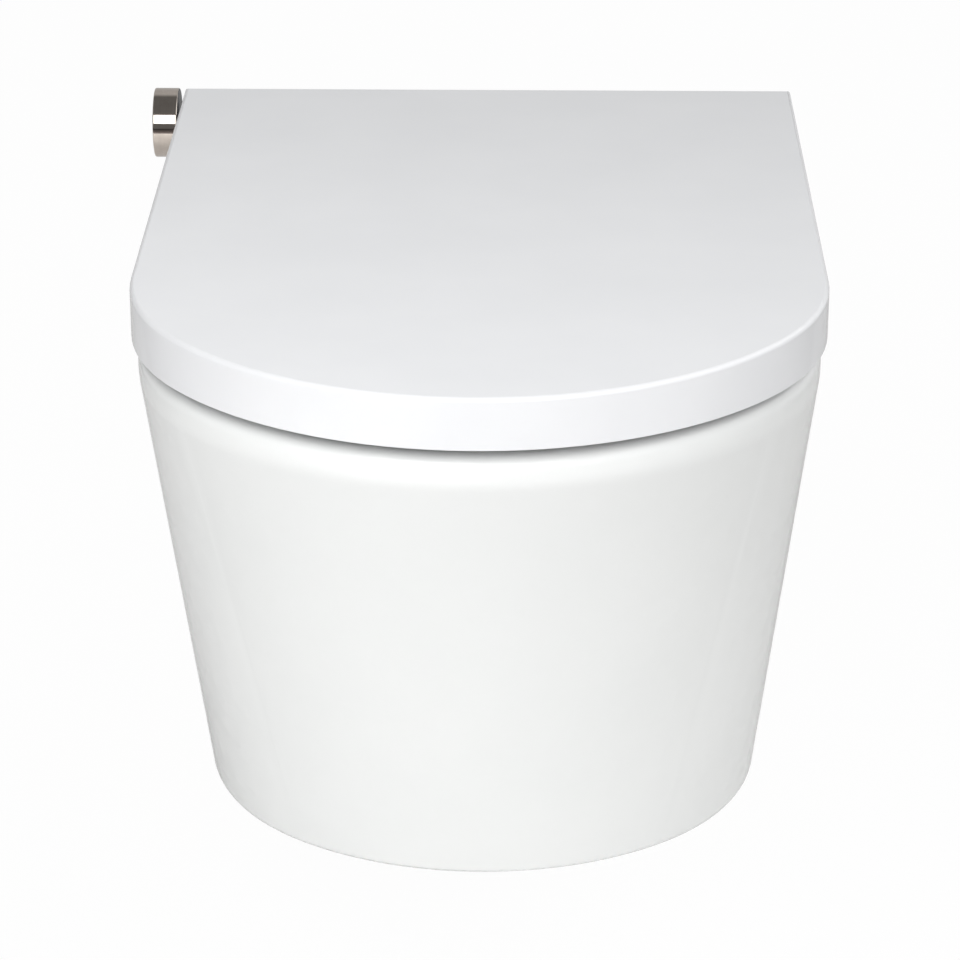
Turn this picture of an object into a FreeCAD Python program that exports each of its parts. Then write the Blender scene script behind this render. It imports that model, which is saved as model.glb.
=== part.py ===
import FreeCAD, Part
import math
import os

import Sketcher
from FreeCAD import Placement, Rotation, Vector

doc = FreeCAD.newDocument("BidetToilet")
sheet = doc.addObject("Spreadsheet::Sheet", "Sizes")

# Millimetres. The wall is the plane y = 0, the front faces -Y and z = 0 is the height of the wall bolts.
SIZES = (
    ("lid_width", 360, "lid across its straight sides"),
    ("lid_straight", 316, "straight part of the lid's sides"),
    ("lid_front_drop", 15, "half the lid's width less the depth of its rounded front"),
    ("lid_corner_place", 30, "centre of the front's side arcs to the middle"),
    ("lid_rear_gap", 75, "lid's rear edge to the wall"),
    ("lid_height", 27, "lid's skirt over all"),
    ("lid_plate", 5, "lid's top"),
    ("lid_skirt", 4, "lid's side wall"),
    ("lid_edge_radius", 2.5, "lid's outer top edge"),
    ("lid_gap", 5, "shadow gap between the lid and the rim"),
    ("rim_height", 95, "ceramic rim above the wall bolts"),
    ("ceramic_height", 325, "rim to underside"),
    ("ceramic_inset", 3, "ceramic's rim inside the lid's outline"),
    ("rim_band", 10, "upright band below the rim"),
    ("band_blend", 10, "height over which the band bends into the taper"),
    ("base_inset", 22.5, "underside inside the lid's outline"),
    ("base_straight", 247, "straight part of the underside's sides"),
    ("base_front_drop", 17.5, "half the underside's width less the depth of its rounded front"),
    ("base_corner_place", 25.5, "centre of the underside's side arcs to the middle"),
    ("ceramic_wall", 11, "fired wall thickness"),
    ("back_wall", 12, "fired wall at the mounting face"),
    ("slip_joint", 2, "joint between bowl and skirt, inside the skirt's wall"),
    ("rim_radius", 8, "rim's outer edge"),
    ("base_radius", 12, "underside's edge"),
    ("mouth_radius", 7, "edge of the bowl's mouth"),
    ("mouth_rear", 207, "bowl's mouth, rear edge to the wall"),
    ("mouth_front_rim", 33, "bowl's mouth to the lid's front"),
    ("mouth_side_rim", 52, "bowl's mouth to the lid's side"),
    ("throat_depth", 115, "bowl's middle section below the rim"),
    ("throat_back", 25, "its centre behind the mouth's"),
    ("throat_shorter", 60, "its length less than the mouth's"),
    ("throat_narrower", 48, "its width less than the mouth's"),
    ("sump_depth", 195, "top of the sump below the rim"),
    ("sump_centre", 310, "its centre to the wall"),
    ("sump_length", 176, "its length"),
    ("sump_width", 148, "its width"),
    ("floor_depth", 301, "sump's floor below the rim"),
    ("floor_centre", 282, "its centre to the wall"),
    ("floor_length", 92, "its length"),
    ("floor_width", 84, "its width"),
    ("bolt_spacing", 180, "wall bolts, centre to centre"),
    ("bolt_hole_radius", 9, "hole in the ceramic for the sleeve"),
    ("bolt_boss_radius", 22, "ceramic around each wall bolt"),
    ("bolt_boss_depth", 40, "ceramic clamped by each wall bolt"),
    ("sleeve_bore_radius", 6.5, "sleeve on a 12 mm stud"),
    ("sleeve_flange_radius", 15, "sleeve's flange"),
    ("sleeve_flange", 3, "its thickness"),
    ("inlet_height", 35, "flush inlet above the wall bolts"),
    ("inlet_radius", 27.5, "flush inlet's socket"),
    ("inlet_depth", 45, "its depth"),
    ("duct_width", 100, "flush channel to the bowl"),
    ("duct_height", 16, "its height"),
    ("duct_floor", 8, "its floor above the wall bolts"),
    ("duct_front", 255, "its front end in the bowl, to the wall"),
    ("outlet_drop", 100, "waste outlet below the wall bolts"),
    ("outlet_radius", 51, "waste spigot's outside"),
    ("outlet_bore_radius", 40, "waste spigot's inside"),
    ("outlet_length", 32, "free length of the waste spigot"),
    ("outlet_recess", 17, "room around the spigot for the pipe's socket"),
    ("trap_radius", 36, "trapway's inside"),
    ("trap_dip_height", 174, "centre of the trap's dip below the wall bolts"),
    ("trap_crest_height", 52, "centre of the trap's crest below the wall bolts"),
    ("trap_rise_angle", 60, "rising leg above the horizontal"),
    ("trap_fall_angle", 40, "falling leg below the horizontal"),
    ("trap_dip_radius", 55, "bend out of the dip"),
    ("trap_crest_radius", 50, "bend over the crest"),
    ("trap_outlet_radius", 40, "bend into the outlet"),
    ("trap_dip_place", 235, "start of the rising bend, to the wall"),
    ("drain_width", 30, "opening in the back wall"),
    ("drain_height", 60, "its height"),
    ("drain_side", 68, "its centre to the lid's side"),
    ("drain_drop", 160, "its centre below the wall bolts"),
    ("deck_drop", 20, "unit's seat in the ceramic below the rim"),
    ("deck_depth", 72, "full-width step at the wall"),
    ("well_side", 40, "unit's well in the rim to the lid's side"),
    ("well_front", 168, "well's front wall to the wall"),
    ("play", 1, "loose clearance between housings"),
    ("shell", 3, "moulded wall thickness"),
    ("tray_height", 18, "unit's tray"),
    ("cover_depth", 64, "rear cover's front face to the wall"),
    ("cover_front_height", 17, "rear cover's front edge above the rim"),
    ("cover_rear_height", 7, "rear cover's rear edge above the rim"),
    ("cover_radius", 3, "rear cover's edges"),
    ("console_side", 34, "console cover to the lid's side"),
    ("console_front", 176, "console cover's front edge to the wall"),
    ("tongue_width", 60, "console cover's tongue over the nozzle"),
    ("tongue_front", 200, "its front edge to the wall"),
    ("nozzle_tilt", 10, "spray arm's slope"),
    ("nozzle_place", 205, "nozzle's tip to the wall"),
    ("nozzle_height", 48, "nozzle's tip above the wall bolts"),
    ("slot_left", 14, "ceramic slot beside the spray arm"),
    ("slot_right", 34, "ceramic slot on the drive's side"),
    ("slot_floor", 14, "slot's floor below the spray arm's axis"),
    ("slot_length", 149, "slot's rear end behind the tip"),
    ("slot_neck", 24, "narrow part of the slot at the bowl"),
    ("arm_radius", 8, "spray arm"),
    ("arm_bore_radius", 4.5, "spray arm's water passage"),
    ("arm_length", 133, "spray arm with its nozzle"),
    ("nozzle_length", 14, "pull-off nozzle"),
    ("nozzle_reach", 2, "nozzle's end in front of its guide's datum"),
    ("nozzle_neck", 8, "nozzle's plug in the spray arm"),
    ("nozzle_bore_radius", 2.5, "nozzle's inside"),
    ("nozzle_nose_radius", 3, "nozzle's front edge"),
    ("seal_length", 5, "sliding seal on the feed tube"),
    ("jet_radius", 0.7, "spray hole"),
    ("jet_pitch", 3, "spray holes, centre to centre"),
    ("slide_clearance", 0.1, "spray arm in its bush"),
    ("feed_radius", 3.2, "telescopic feed tube"),
    ("feed_bore_radius", 2.2, "its inside"),
    ("feed_seat", 3, "feed tube in the guide's rear block"),
    ("running_clearance", 0.05, "shaft in a bore"),
    ("gear_module", 1, "rack and pinion"),
    ("gear_teeth", 16, "pinion"),
    ("gear_dedendum", 1.25, "tooth roots below the pitch line, in modules"),
    ("gear_backlash", 0.35, "tooth thinning on rack and pinion"),
    ("gear_width", 7, "pinion's face"),
    ("rack_width", 6, "rack's face"),
    ("rack_clearance", 0.4, "rack in the guide's bush"),
    ("rack_start", 34, "rack's front end behind the tip"),
    ("rack_root", 9.75, "rack's tooth roots to the spray arm's axis"),
    ("rack_seat", 4, "rack's back to the spray arm's axis"),
    ("pinion_place", 40, "pinion's axis behind the tip"),
    ("pinion_shaft_radius", 1.5, "motor shaft"),
    ("pinion_shaft_reach", 4.5, "motor shaft inside the motor"),
    ("pinion_hub_radius", 3, "pinion's foot on the guide"),
    ("bush_front", 3, "guide's front face behind the tip"),
    ("bush_rear", 28, "end of the guide's bush"),
    ("guide_half_width", 12, "guide's block"),
    ("guide_wall", 2.5, "guide's walls"),
    ("guide_cap_front", 136, "guide's rear block"),
    ("guide_cap_rear", 147, "guide's rear end"),
    ("guide_cap_top", 17, "guide's rear block above the axis"),
    ("bridge_floor", 9, "motor bridge above the axis"),
    ("motor_radius", 12.5, "geared motor"),
    ("motor_height", 17, "geared motor"),
    ("motor_boss_radius", 4.5, "motor's pilot boss"),
    ("motor_ear_length", 32, "motor's fixing ears"),
    ("motor_ear_width", 7, "motor's fixing ears"),
    ("motor_ear", 1.2, "motor's fixing ears"),
    ("bridge_front", 26, "motor bridge behind the tip"),
    ("bridge_rear", 54, "motor bridge's rear edge behind the tip"),
    ("nipple_radius", 3, "hose nipple"),
    ("nipple_length", 10, "hose nipple"),
    ("nipple_bore_radius", 1.8, "hose nipple's inside"),
    ("nipple_height", 12, "cap's nipple above the spray arm's axis"),
    ("hose_radius", 4.5, "water hose"),
    ("hose_bend", 14, "water hose's bend"),
    ("heater_side", 50, "flow heater to the lid's side"),
    ("heater_depth", 68, "flow heater"),
    ("heater_height", 14, "flow heater"),
    ("heater_left", 40, "flow heater's near side to the middle"),
    ("heater_rear", 92, "flow heater's rear face to the wall"),
    ("heater_radius", 4, "flow heater's edges"),
    ("heater_outlet", 52, "flow heater's outlet nipple to the middle"),
    ("heater_fins", 7, "ribs on the flow heater"),
    ("valve_side", 62, "valve and water inlet to the lid's side"),
    ("valve_wall_gap", 33, "valve and water inlet to the wall"),
    ("valve_width", 26, "valve block"),
    ("valve_height", 13, "valve block"),
    ("coil_radius", 8, "solenoid"),
    ("coil_height", 11, "solenoid"),
    ("inlet_thread_radius", 8.3, "three-eighths pipe thread"),
    ("inlet_thread_length", 18, "its length"),
    ("inlet_bore_radius", 5, "water inlet's inside"),
    ("inlet_flange_radius", 13, "water inlet's flange"),
    ("inlet_flange", 9, "its thickness"),
    ("inlet_neck_radius", 7, "water inlet in the tray's floor"),
    ("deck_hole_radius", 17, "ceramic hole around the water inlet and the gland"),
    ("gland_side", 68, "cable gland to the lid's side"),
    ("gland_wall_gap", 28, "cable gland to the wall"),
    ("gland_radius", 8, "cable gland's body"),
    ("gland_flange_radius", 12, "cable gland's hexagon"),
    ("gland_bore_radius", 3.5, "cable gland's bore"),
    ("gland_length", 16, "cable gland below the tray"),
    ("board_inner", 32, "control board's inner side to the middle"),
    ("board_depth", 70, "control board"),
    ("board_side", 52, "control board to the lid's side"),
    ("board_front", 158, "control board's front edge to the wall"),
    ("board_sheet", 1.6, "control board"),
    ("board_foot", 3.4, "board's pillars"),
    ("pillar_radius", 3, "board's pillars"),
    ("supply_width", 56, "power supply"),
    ("supply_depth", 38, "power supply"),
    ("supply_height", 20, "power supply"),
    ("supply_side", 94, "power supply to the lid's side"),
    ("supply_wall_gap", 12, "power supply's rear face to the wall"),
    ("supply_radius", 1.5, "power supply's edges"),
    ("lead_radius", 1.8, "leads"),
    ("lead_bend", 7, "leads' bends"),
    ("unit_bolt_side", 82, "unit's fixing bolts to the lid's side"),
    ("unit_bolt_wall_gap", 50, "unit's fixing bolts to the wall"),
    ("unit_bolt_radius", 3, "unit's fixing bolts"),
    ("unit_bolt_head_radius", 5.5, "their heads"),
    ("unit_bolt_head", 4, "their heads"),
    ("unit_bolt_end", 3, "their ends below the nuts"),
    ("unit_washer_radius", 9, "rubber washers below the ceramic"),
    ("unit_washer", 4, "rubber washers"),
    ("nut_height", 5, "nuts"),
    ("nut_radius", 6, "nuts across corners, half"),
    ("knob_radius", 20.9, "control knob"),
    ("knob_height", 14.7, "control knob"),
    ("knob_edge", 0.6, "control knob's edges"),
    ("knob_wall_gap", 40, "control knob's axis to the wall"),
    ("knob_axis_height", 93.7, "control knob's axis above the wall bolts"),
    ("knob_standoff", 10.4, "control knob to the rear cover's side"),
    ("knob_travel", 2, "control knob's push"),
    ("knob_bore_depth", 9, "spindle in the knob"),
    ("collar_radius", 12, "collar around the spindle"),
    ("collar_neck_radius", 6.5, "collar's thread through the cover and the tray"),
    ("collar_nut_radius", 8.5, "collar's nut"),
    ("collar_nut", 4, "collar's nut"),
    ("collar_lug_width", 24, "tray's upstand around the collar"),
    ("collar_lug_top", 9.3, "tray's upstand above the collar's axis"),
    ("spindle_radius", 4, "spindle"),
    ("spindle_flat", 2.8, "flat on the spindle, to its axis"),
    ("spindle_tail", 15, "spindle's inner end past the encoder's outer face"),
    ("encoder_size", 18, "encoder's body"),
    ("encoder_depth", 11, "encoder's body"),
    ("encoder_nut_gap", 1, "encoder to the collar's nut"),
    ("encoder_back", 2, "encoder's rear wall"),
    ("rotor_gap", 0.3, "around the encoder's rotor"),
    ("rotor_radius", 6, "encoder's rotor"),
    ("rotor_length", 7, "encoder's rotor"),
    ("dome_radius", 3.5, "rubber switch dome"),
    ("dome_length", 4, "rubber switch dome"),
    ("switch_width", 12, "push switch"),
    ("switch_depth", 8, "push switch"),
    ("switch_height", 21, "push switch"),
    ("hinge_inset", 10, "hinge axis in front of the lid's rear edge"),
    ("hinge_drop", 13, "hinge axis below the lid's top"),
    ("hinge_pin_radius", 4, "hinge pin"),
    ("lug_radius", 7, "hinge lugs and posts"),
    ("post_rear", 5.5, "hinge post behind the axis"),
    ("post_side", 30, "hinge post's inner face to the lid's side"),
    ("post_width", 14, "hinge post"),
    ("lug_gap", 1, "between a lug and its post"),
    ("lid_lug_width", 9, "lid's hinge lug"),
    ("seat_lug_width", 16, "seat's hinge lug"),
    ("post_stud_radius", 4, "hinge post's stud"),
    ("post_stud_length", 23, "hinge post's stud below the rim"),
    ("post_washer_radius", 6.5, "hinge post's washer"),
    ("post_washer", 2, "hinge post's washer"),
    ("rim_skin", 12, "fired wall at the rim"),
    ("seat_gap", 10, "seat inside the lid's skirt"),
    ("seat_height", 18, "seat"),
    ("seat_rear_gap", 98, "seat's rear edge to the wall"),
    ("seat_mouth_rear", 210, "seat's opening, rear edge to the wall"),
    ("seat_front_rim", 56, "seat's opening to the lid's front"),
    ("seat_side_rim", 69, "seat's opening to the lid's side"),
    ("seat_edge_radius", 5, "seat's outer edges"),
    ("seat_mouth_radius", 7, "seat's inner edges"),
    ("buffer_radius", 9, "seat's buffers"),
    ("buffer_height", 6, "seat's buffers, on the rim"),
    ("buffer_front", 430, "front buffers to the wall"),
    ("buffer_rear", 240, "rear buffers to the wall"),
    ("buffer_front_side", 39, "front buffers to the lid's side"),
    ("buffer_rear_side", 30, "rear buffers to the lid's side"),
    ("lid_buffer_radius", 6, "lid's buffers"),
    ("lid_back_drop", 5, "lid's rear wall below the hinge axis"),
    ("lid_back_side", 55, "lid's rear wall to its side"),
    ("console_radius", 1.5, "console cover's top edge"),
    ("connector_width", 12, "connectors on the control board"),
    ("connector_depth", 6, "connectors on the control board"),
    ("connector_height", 8, "connectors on the control board"),
    ("part_height", 9, "tall components on the control board"),
    ("capacitor_radius", 5, "capacitors on the control board"),
    ("lead_height", 10, "leads above the tray's floor"),
)

for row, (alias, amount, note) in enumerate(SIZES, start=1):
    sheet.set(f"A{row}", note)
    sheet.set(f"B{row}", str(amount))
    sheet.setAlias(f"B{row}", alias)
doc.recompute()


class Size:
    """A length with its expression in the sheet and its present value."""

    def __init__(self, text, value):
        self.text = text
        self.value = value

    def __add__(self, other):
        return Size(f"({text_of(self)} + {text_of(other)})", value_of(self) + value_of(other))

    def __sub__(self, other):
        return Size(f"({text_of(self)} - {text_of(other)})", value_of(self) - value_of(other))

    def __mul__(self, other):
        return Size(f"({text_of(self)} * {text_of(other)})", value_of(self) * value_of(other))

    def __truediv__(self, other):
        return Size(f"({text_of(self)} / {text_of(other)})", value_of(self) / value_of(other))

    def __radd__(self, other):
        return self + other

    def __rsub__(self, other):
        return Size(f"({text_of(other)} - {text_of(self)})", value_of(other) - value_of(self))

    def __rmul__(self, other):
        return self * other

    def __neg__(self):
        return Size(f"(-{text_of(self)})", -self.value)


def text_of(amount):
    return amount.text if isinstance(amount, Size) else repr(amount)


def value_of(amount):
    return amount.value if isinstance(amount, Size) else amount


class Sizes:
    """The sheet's cells by name."""


s = Sizes()
for alias, amount, note in SIZES:
    setattr(s, alias, Size(f"Sizes.{alias}", float(sheet.get(alias))))

nodes = []
ADD = "Additive"
CUT = "Subtractive"
X_AXIS = Rotation(Vector(0, 1, 0), 90)
Y_AXIS = Rotation(Vector(1, 0, 0), -90)
Z_AXIS = Rotation()


def body(label, placement=None, kept=True):
    """A new piece of the toilet, or a helper that others are cut from."""
    item = doc.addObject("PartDesign::Body", label)
    item.Label = label
    item.AllowCompound = True
    if placement is not None:
        item.Placement = placement
    if kept:
        nodes.append(item)
    return item


def place(item, x, y, z):
    item.setExpression("Placement.Base.x", text_of(x))
    item.setExpression("Placement.Base.y", text_of(y))
    item.setExpression("Placement.Base.z", text_of(z))


def box(owner, way, x, y, z):
    """A block between two faces on each axis."""
    item = owner.newObject(f"PartDesign::{way}Box", "Block")
    item.setExpression("Length", text_of(x[1] - x[0]))
    item.setExpression("Width", text_of(y[1] - y[0]))
    item.setExpression("Height", text_of(z[1] - z[0]))
    place(item, x[0], y[0], z[0])
    return item


def rod(owner, way, axis, start, radius, length):
    """A round bar or hole that starts at a point and runs along an axis."""
    item = owner.newObject(f"PartDesign::{way}Cylinder", "Rod")
    item.setExpression("Radius", text_of(radius))
    item.setExpression("Height", text_of(length))
    item.Placement = Placement(Vector(), axis)
    place(item, *start)
    return item


def prism(owner, way, start, radius, length, sides=6):
    """An upright nut or bolt head."""
    item = owner.newObject(f"PartDesign::{way}Prism", "Hexagon")
    item.Polygon = sides
    item.setExpression("Circumradius", text_of(radius))
    item.setExpression("Height", text_of(length))
    place(item, *start)
    return item


def plane(owner, role):
    return next(p for p in owner.Origin.OriginFeatures if p.Role == role)


def sketch(owner, label, role, offset):
    item = owner.newObject("Sketcher::SketchObject", label)
    item.AttachmentSupport = [(plane(owner, role), "")]
    item.MapMode = "FlatFace"
    item.setExpression("AttachmentOffset.Base.z", text_of(offset))
    return item


def drive(item, kind, *where):
    """A dimension that follows the sheet."""
    index = item.addConstraint(Sketcher.Constraint(kind, *where[:-1], value_of(where[-1])))
    item.setExpression(f"Constraints[{index}]", text_of(where[-1]))


def outline(owner, label, height, half, rear, spring, rise, corner):
    """Straight sides from the rear to the spring line, then an arch of three tangent arcs."""
    front = (
        (half - corner) * (half - corner) + rise * rise - corner * corner
    ) / (2 * (rise - corner))
    w, y0, y1 = half.value, -value_of(rear), -spring.value
    c, big = corner.value, front.value
    turn = math.atan2(w - c, big - rise.value)
    centre = Vector(0, y1 + big - rise.value, 0)
    joint = centre + Vector(-big * math.sin(turn), -big * math.cos(turn), 0)
    other = Vector(-joint.x, joint.y, 0)
    left, right = Vector(c - w, y1, 0), Vector(w - c, y1, 0)
    up = Vector(0, 0, 1)
    start = math.pi / 2 - turn
    item = sketch(owner, label, "XY_Plane", height)
    item.addGeometry(Part.LineSegment(Vector(w, y0, 0), Vector(-w, y0, 0)))
    item.addGeometry(Part.LineSegment(Vector(-w, y0, 0), Vector(-w, y1, 0)))
    item.addGeometry(Part.ArcOfCircle(Part.Circle(left, up, c), math.pi, math.pi + start))
    item.addGeometry(
        Part.ArcOfCircle(Part.Circle(centre, up, big), 1.5 * math.pi - turn, 1.5 * math.pi + turn)
    )
    item.addGeometry(Part.ArcOfCircle(Part.Circle(right, up, c), -start, 0))
    item.addGeometry(Part.LineSegment(Vector(w, y1, 0), Vector(w, y0, 0)))
    join = Sketcher.Constraint
    item.addConstraint(
        [
            join("Coincident", 0, 2, 1, 1),
            join("Coincident", 5, 2, 0, 1),
            join("Tangent", 1, 2, 2, 1),
            join("Tangent", 2, 2, 3, 1),
            join("Tangent", 3, 2, 4, 1),
            join("Tangent", 4, 2, 5, 1),
            join("Vertical", 1),
            join("Vertical", 5),
            join("Symmetric", 0, 1, 0, 2, -2),
            join("Equal", 2, 4),
            join("PointOnObject", 3, 3, -2),
        ]
    )
    drive(item, "DistanceX", 0, 2, 0, 1, 2 * half)
    if value_of(rear) > 0:
        drive(item, "DistanceY", 0, 1, -1, 1, rear)
    else:
        drive(item, "DistanceY", -1, 1, 0, 1, -rear)
    drive(item, "DistanceY", 2, 3, -1, 1, spring)
    drive(item, "Radius", 2, corner)
    drive(item, "Radius", 3, front)
    return item


def lid_outline(owner, label, height, inset, rear):
    """The lid's outline, drawn inwards by a distance."""
    return outline(
        owner,
        label,
        height,
        half_lid - inset,
        rear,
        lid_spring,
        lid_rise - inset,
        lid_corner - inset,
    )


def oval(owner, label, height, centre, length, width):
    """An upright ellipse around the middle plane."""
    y, a, b = -value_of(centre), value_of(length) / 2, value_of(width) / 2
    item = sketch(owner, label, "XY_Plane", height)
    item.addGeometry(Part.Ellipse(Vector(0, y + a, 0), Vector(b, y, 0), Vector(0, y, 0)))
    item.exposeInternalGeometry(0)
    item.addConstraint(Sketcher.Constraint("PointOnObject", 0, 3, -2))
    item.addConstraint(Sketcher.Constraint("Vertical", 1))
    drive(item, "DistanceY", 0, 3, -1, 1, centre)
    drive(item, "Distance", 1, length)
    drive(item, "Distance", 2, width)
    return item


def pad(owner, profile, length, way="Pad", both=False, back=False):
    item = owner.newObject(f"PartDesign::{way}", way)
    item.Profile = profile
    item.Midplane = both
    item.Reversed = back
    item.setExpression("Length", text_of(length))
    return item


def loft(owner, way, sections, ruled):
    item = owner.newObject(f"PartDesign::{way}Loft", "Loft")
    item.Profile = sections[0]
    item.Sections = sections[1:]
    item.Ruled = ruled
    return item


def round_edges(owner, radius, wanted):
    """A rounding on every edge of the piece so far that the test picks out."""
    doc.recompute()
    tip = owner.Tip
    names = [f"Edge{i}" for i, e in enumerate(tip.Shape.Edges, start=1) if wanted(e)]
    item = owner.newObject("PartDesign::Fillet", "Rounding")
    item.Base = (tip, names)
    item.setExpression("Radius", text_of(radius))
    doc.recompute()
    return item


def flat_at(height):
    """A test for edges that lie at one height."""
    z = value_of(height)
    near = 0.01
    return lambda e: abs(e.BoundBox.ZMin - z) < near and abs(e.BoundBox.ZMax - z) < near


def rounded_path(points, bend):
    """Straight runs joined by tangent arcs of one radius."""
    edges = []
    here = points[0]
    for before, corner, after in zip(points, points[1:], points[2:]):
        back = (before - corner).normalize()
        ahead = (after - corner).normalize()
        half = back.getAngle(ahead) / 2
        reach = bend / math.tan(half)
        middle = (back + ahead).normalize()
        first = corner + back * reach
        last = corner + ahead * reach
        top = corner + middle * (bend / math.sin(half) - bend)
        edges.append(Part.LineSegment(here, first).toShape())
        edges.append(Part.Arc(first, top, last).toShape())
        here = last
    edges.append(Part.LineSegment(here, points[-1]).toShape())
    return Part.Wire(edges)


def pipe(path, radius):
    edge = path.Edges[0]
    start = edge.valueAt(edge.FirstParameter)
    along = edge.tangentAt(edge.FirstParameter)
    ring = Part.Wire(Part.makeCircle(radius, start, along))
    return path.makePipeShell([ring], True, True)


def piece(label, shape, placement=None):
    """A piece that only a swept or toothed shape can describe."""
    item = doc.addObject("Part::Feature", label)
    item.Shape = shape
    item.Label = label
    if placement is not None:
        item.Placement = placement
    nodes.append(item)
    return item


half_lid = s.lid_width / 2
lid_spring = s.lid_rear_gap + s.lid_straight
lid_rise = half_lid - s.lid_front_drop
lid_corner = half_lid - s.lid_corner_place
lid_front = lid_spring + lid_rise
base_half = half_lid - s.base_inset
base_rise = base_half - s.base_front_drop
base_corner = base_half - s.base_corner_place
mouth_front = lid_front - s.mouth_front_rim
mouth_centre = (mouth_front + s.mouth_rear) / 2
mouth_length = mouth_front - s.mouth_rear
mouth_width = s.lid_width - 2 * s.mouth_side_rim
lid_low = s.rim_height + s.lid_gap
lid_top = lid_low + s.lid_height
base_low = s.rim_height - s.ceramic_height
deck = s.rim_height - s.deck_drop
hinge_y = -(s.lid_rear_gap + s.hinge_inset)
hinge_z = lid_top - s.hinge_drop
band_low = s.rim_height - s.rim_band
half_well = half_lid - s.well_side
rim_half = half_lid - s.ceramic_inset
post_inner = half_lid - s.post_side
valve_place = half_lid - s.valve_side
gland_place = half_lid - s.gland_side
unit_bolt_place = half_lid - s.unit_bolt_side
wall = s.ceramic_wall
tilt = Placement(
    Vector(0, -s.nozzle_place.value, s.nozzle_height.value),
    Rotation(Vector(1, 0, 0), s.nozzle_tilt.value),
)
past = s.play


def tilted(item, x, y, z):
    """Gives a feature of an upright piece the spray arm's slope. The point is in the arm's own axes."""
    start = tilt.multVec(Vector(value_of(x), value_of(y), value_of(z)))
    for axis in ("x", "y", "z"):
        item.setExpression(f"Placement.Base.{axis}", None)
    item.Placement = Placement(start, tilt.Rotation)


# The ceramic is fired in one: an outer skirt and the bowl inside it, joined at the rim.
ceramic = body("casting", kept=False)
skirt_rise = lid_rise - s.ceramic_inset
skirt_corner = lid_corner - s.ceramic_inset
BLEND_STEPS = 4
taper_height = s.ceramic_height - s.rim_band


def skirt_section(label, drop, share):
    """The skirt's outline at a depth below the upright band, part of the way from the rim's to the base's."""
    return outline(
        ceramic,
        label,
        band_low - drop,
        rim_half + (base_half - rim_half) * share,
        -past,
        lid_spring + (s.base_straight - lid_spring) * share,
        skirt_rise + (base_rise - skirt_rise) * share,
        skirt_corner + (base_corner - skirt_corner) * share,
    )


skirt = [lid_outline(ceramic, "SkirtTop", s.rim_height, s.ceramic_inset, -past)]
for step in range(BLEND_STEPS + 1):
    along = step / BLEND_STEPS
    bent = along * along * s.band_blend / (2 * taper_height - s.band_blend)
    skirt.append(skirt_section(f"SkirtBlend{step}", s.band_blend * along, bent))
skirt.append(skirt_section("SkirtBase", taper_height, Size("1", 1)))
loft(ceramic, ADD, skirt, True)
box(ceramic, CUT, (-half_lid, half_lid), (0, 2 * past), (base_low - past, s.rim_height + past))


def not_at_wall(test):
    return lambda e: test(e) and e.BoundBox.YMin < -past.value


round_edges(ceramic, s.rim_radius, not_at_wall(flat_at(s.rim_height)))
round_edges(ceramic, s.base_radius, not_at_wall(flat_at(base_low)))

hollow_inset = s.ceramic_inset + wall
hollow_base = outline(
    ceramic,
    "HollowBase",
    base_low + wall,
    base_half - wall,
    s.back_wall,
    s.base_straight,
    base_rise - wall,
    base_corner - wall,
)
hollow_band = lid_outline(ceramic, "HollowBand", band_low - wall, hollow_inset, s.back_wall)
hollow_top = lid_outline(ceramic, "HollowTop", s.rim_height - s.rim_skin, hollow_inset, s.back_wall)
loft(ceramic, CUT, [hollow_top, hollow_band, hollow_base], True)

bowl_sections = (
    (0, mouth_centre, mouth_length, mouth_width),
    (
        s.throat_depth,
        mouth_centre - s.throat_back,
        mouth_length - s.throat_shorter,
        mouth_width - s.throat_narrower,
    ),
    (s.sump_depth, s.sump_centre, s.sump_length, s.sump_width),
    (s.floor_depth, s.floor_centre, s.floor_length, s.floor_width),
)


def bowl_ovals(label, grow, drop):
    """The bowl's cross-sections, its glazed inside or its outside."""
    last = len(bowl_sections) - 1
    return [
        oval(
            ceramic,
            f"{label}{index}",
            s.rim_height - depth - (drop if index in (0, last) else 0),
            centre,
            length + 2 * grow,
            width + 2 * grow,
        )
        for index, (depth, centre, length, width) in enumerate(bowl_sections)
    ]


loft(ceramic, ADD, bowl_ovals("BowlOutside", wall, s.rim_radius), False)

# Thickened ceramic around the unit's well, the flush inlet, the waste outlet and the wall bolts.
skirt_reach = rim_half - wall / 2
box(
    ceramic,
    ADD,
    (-skirt_reach, skirt_reach),
    (-s.deck_depth - wall, -past),
    (deck - wall, s.rim_height - s.rim_radius),
)
box(
    ceramic,
    ADD,
    (-half_well - wall + past, half_well + wall - past),
    (-s.mouth_rear - wall, -s.deck_depth),
    (deck - wall, s.rim_height - s.rim_radius),
)
slot_block = box(
    ceramic,
    ADD,
    (-s.slot_left - wall, s.slot_right + wall),
    (-s.nozzle_length, s.slot_length + wall / 2),
    (-s.slot_floor - wall, s.slot_floor),
)
tilted(slot_block, -s.slot_left - wall, -s.nozzle_length, -s.slot_floor - wall)
rod(
    ceramic,
    ADD,
    Y_AXIS,
    (0, -s.inlet_depth - wall, s.inlet_height),
    s.inlet_radius + wall,
    s.inlet_depth + wall - past,
)
duct_top = s.duct_floor + s.duct_height
box(
    ceramic,
    ADD,
    (-s.duct_width / 2 - wall, s.duct_width / 2 + wall),
    (-s.mouth_rear - wall, -s.inlet_depth),
    (s.duct_floor - wall + past, duct_top + wall),
)
rod(
    ceramic,
    ADD,
    Y_AXIS,
    (0, -s.outlet_length - wall, -s.outlet_drop),
    s.outlet_radius + s.outlet_recess + wall,
    s.outlet_length + wall - past,
)
for side in (-1, 1):
    bolt_x = side * s.bolt_spacing / 2
    rod(
        ceramic,
        ADD,
        Y_AXIS,
        (bolt_x, -s.bolt_boss_depth, 0),
        s.bolt_boss_radius,
        s.bolt_boss_depth - past,
    )


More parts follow.
